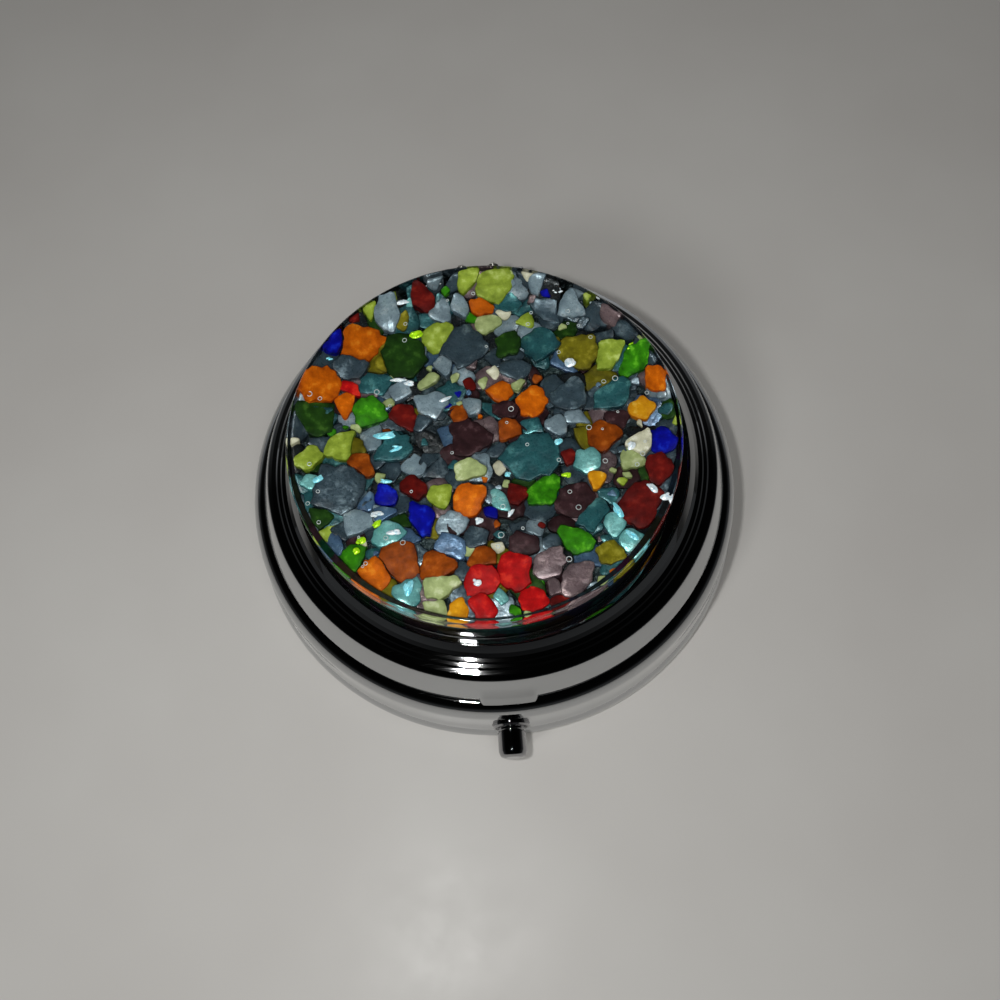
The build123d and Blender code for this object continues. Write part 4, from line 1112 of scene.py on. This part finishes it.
# ======== stage, light and camera ========
def table_top():
    """A pale, slightly glossy table, with a painted falloff of lamp light in its colour."""
    m = Nodes("table_top")
    cloud = m.noise(30.0, 3.0, 0.5)
    fine = m.noise(1.2, 5.0, 0.6)
    wear = m.noise(6.0, 4.0, 0.6)
    # painted light: the table's colour darkens with distance, as if its light came from a lamp beside the
    # camera
    place = m.add("ShaderNodeTexCoord")
    distance = m.add("ShaderNodeVectorMath", operation="LENGTH")
    m.link(place.outputs["Object"], distance.inputs[0])
    painted_falloff = m.add("ShaderNodeMapRange", interpolation_type="SMOOTHSTEP")
    painted_falloff.inputs["From Min"].default_value = 0.05
    painted_falloff.inputs["From Max"].default_value = 0.34
    painted_falloff.inputs["To Max"].default_value = 0.85
    m.link(distance.outputs["Value"], painted_falloff.inputs["Value"])
    pale = m.mix(m.remap(cloud, 0.0, 1.0), srgb(207, 206, 203), srgb(200, 198, 195))
    m.set(
        Base_Color=m.mix(painted_falloff.outputs["Result"], pale, srgb(40, 39, 37)),
        Roughness=m.remap(wear, 0.30, 0.42),
        Specular_IOR_Level=0.22,
    )
    m.bump(m.math("ADD", fine, m.math("MULTIPLY", wear, 1.5)), 0.010, 0.5)
    return m.mat


HALF = 0.9  # half the table's width, in metres
corners = [(-HALF, -HALF, 0), (HALF, -HALF, 0), (HALF, HALF, 0), (-HALF, HALF, 0)]
floor = make_mesh("floor", corners, [(0, 1, 2, 3)], table_top(), None, scale=1.0)

# brightness of the room by height: 0 level with the table and below it, 1 straight up
ROOM = [(0.0, 0.60), (0.14, 0.50), (0.30, 0.12), (0.5, 0.022), (1.0, 0.012)]


def studio_world():
    """A dim room that is pale only low down behind the hinge."""
    world = bpy.data.worlds.new("studio")
    world.use_nodes = True
    tree = world.node_tree
    background = tree.nodes["Background"]
    where = tree.nodes.new("ShaderNodeTexCoord")
    split = tree.nodes.new("ShaderNodeSeparateXYZ")
    ramp = tree.nodes.new("ShaderNodeValToRGB")
    tree.links.new(where.outputs["Generated"], split.inputs[0])
    tree.links.new(split.outputs["Z"], ramp.inputs["Fac"])
    tree.links.new(ramp.outputs["Color"], background.inputs["Color"])
    while len(ramp.color_ramp.elements) < len(ROOM):
        ramp.color_ramp.elements.new(0.5)
    for element, (place, value) in zip(ramp.color_ramp.elements, ROOM):
        element.position = place
        element.color = (value * 0.97, value, value * 1.02, 1)
    side = tree.nodes.new("ShaderNodeMapRange")
    side.inputs["From Min"].default_value = 0.35
    side.inputs["From Max"].default_value = 0.95
    side.inputs["To Min"].default_value = 0.07
    side.inputs["To Max"].default_value = 1.0
    tree.links.new(split.outputs["Y"], side.inputs["Value"])
    tree.links.new(side.outputs["Result"], background.inputs["Strength"])
    return world


bpy.context.scene.world = studio_world()


def soft_disc(name, place, at, size, power, colour):
    """A round area light at place that points at the spot at."""
    lamp = bpy.data.lights.new(name, "AREA")
    lamp.shape = "DISK"
    lamp.size = size
    lamp.energy = power
    lamp.color = colour
    obj = bpy.data.objects.new(name, lamp)
    bpy.context.scene.collection.objects.link(obj)
    obj.location = place
    obj.rotation_mode = "QUATERNION"
    obj.rotation_quaternion = (Vector(at) - obj.location).to_track_quat("-Z", "Y")
    return obj


soft_disc("key_light", (-0.0145, -0.0410, 0.1081), (0, 0, 0.01), 0.007, 0.040, (1.0, 0.99, 0.97))
fill = soft_disc("fill_light", (0.05, -0.35, 0.80), (0, 0, 0), 0.5, 2.1, (1.0, 0.985, 0.96))
fill.visible_glossy = False
left = soft_disc("left_light", (-0.12, -0.17, 0.19), (-0.02, -0.03, 0), 0.06, 0.14, (1.0, 0.99, 0.97))
left.visible_glossy = False

# the camera looks down at the case from the button's side, leaning a little to the left
EYE = Vector((0.55, -44.73, 108.07)) * MM
TARGET = Vector((0.56, 0.49, 0.0)) * MM
ROLL = math.radians(-4.3)
camera_data = bpy.data.cameras.new("camera")
camera_data.lens = 38.99
camera_data.sensor_width = 36.0
camera_data.clip_start = 0.005
camera_data.clip_end = 20.0
camera = bpy.data.objects.new("camera", camera_data)
bpy.context.scene.collection.objects.link(camera)
forward = (TARGET - EYE).normalized()
right = forward.cross(Vector((0, 0, 1))).normalized()
up = right.cross(forward)
right_r = right * math.cos(ROLL) + up * math.sin(ROLL)
up_r = up * math.cos(ROLL) - right * math.sin(ROLL)
turn = Matrix((right_r, up_r, -forward)).transposed()
camera.matrix_world = Matrix.Translation(EYE) @ turn.to_4x4()
bpy.context.scene.camera = camera
bpy.context.scene.view_settings.view_transform = "Standard"
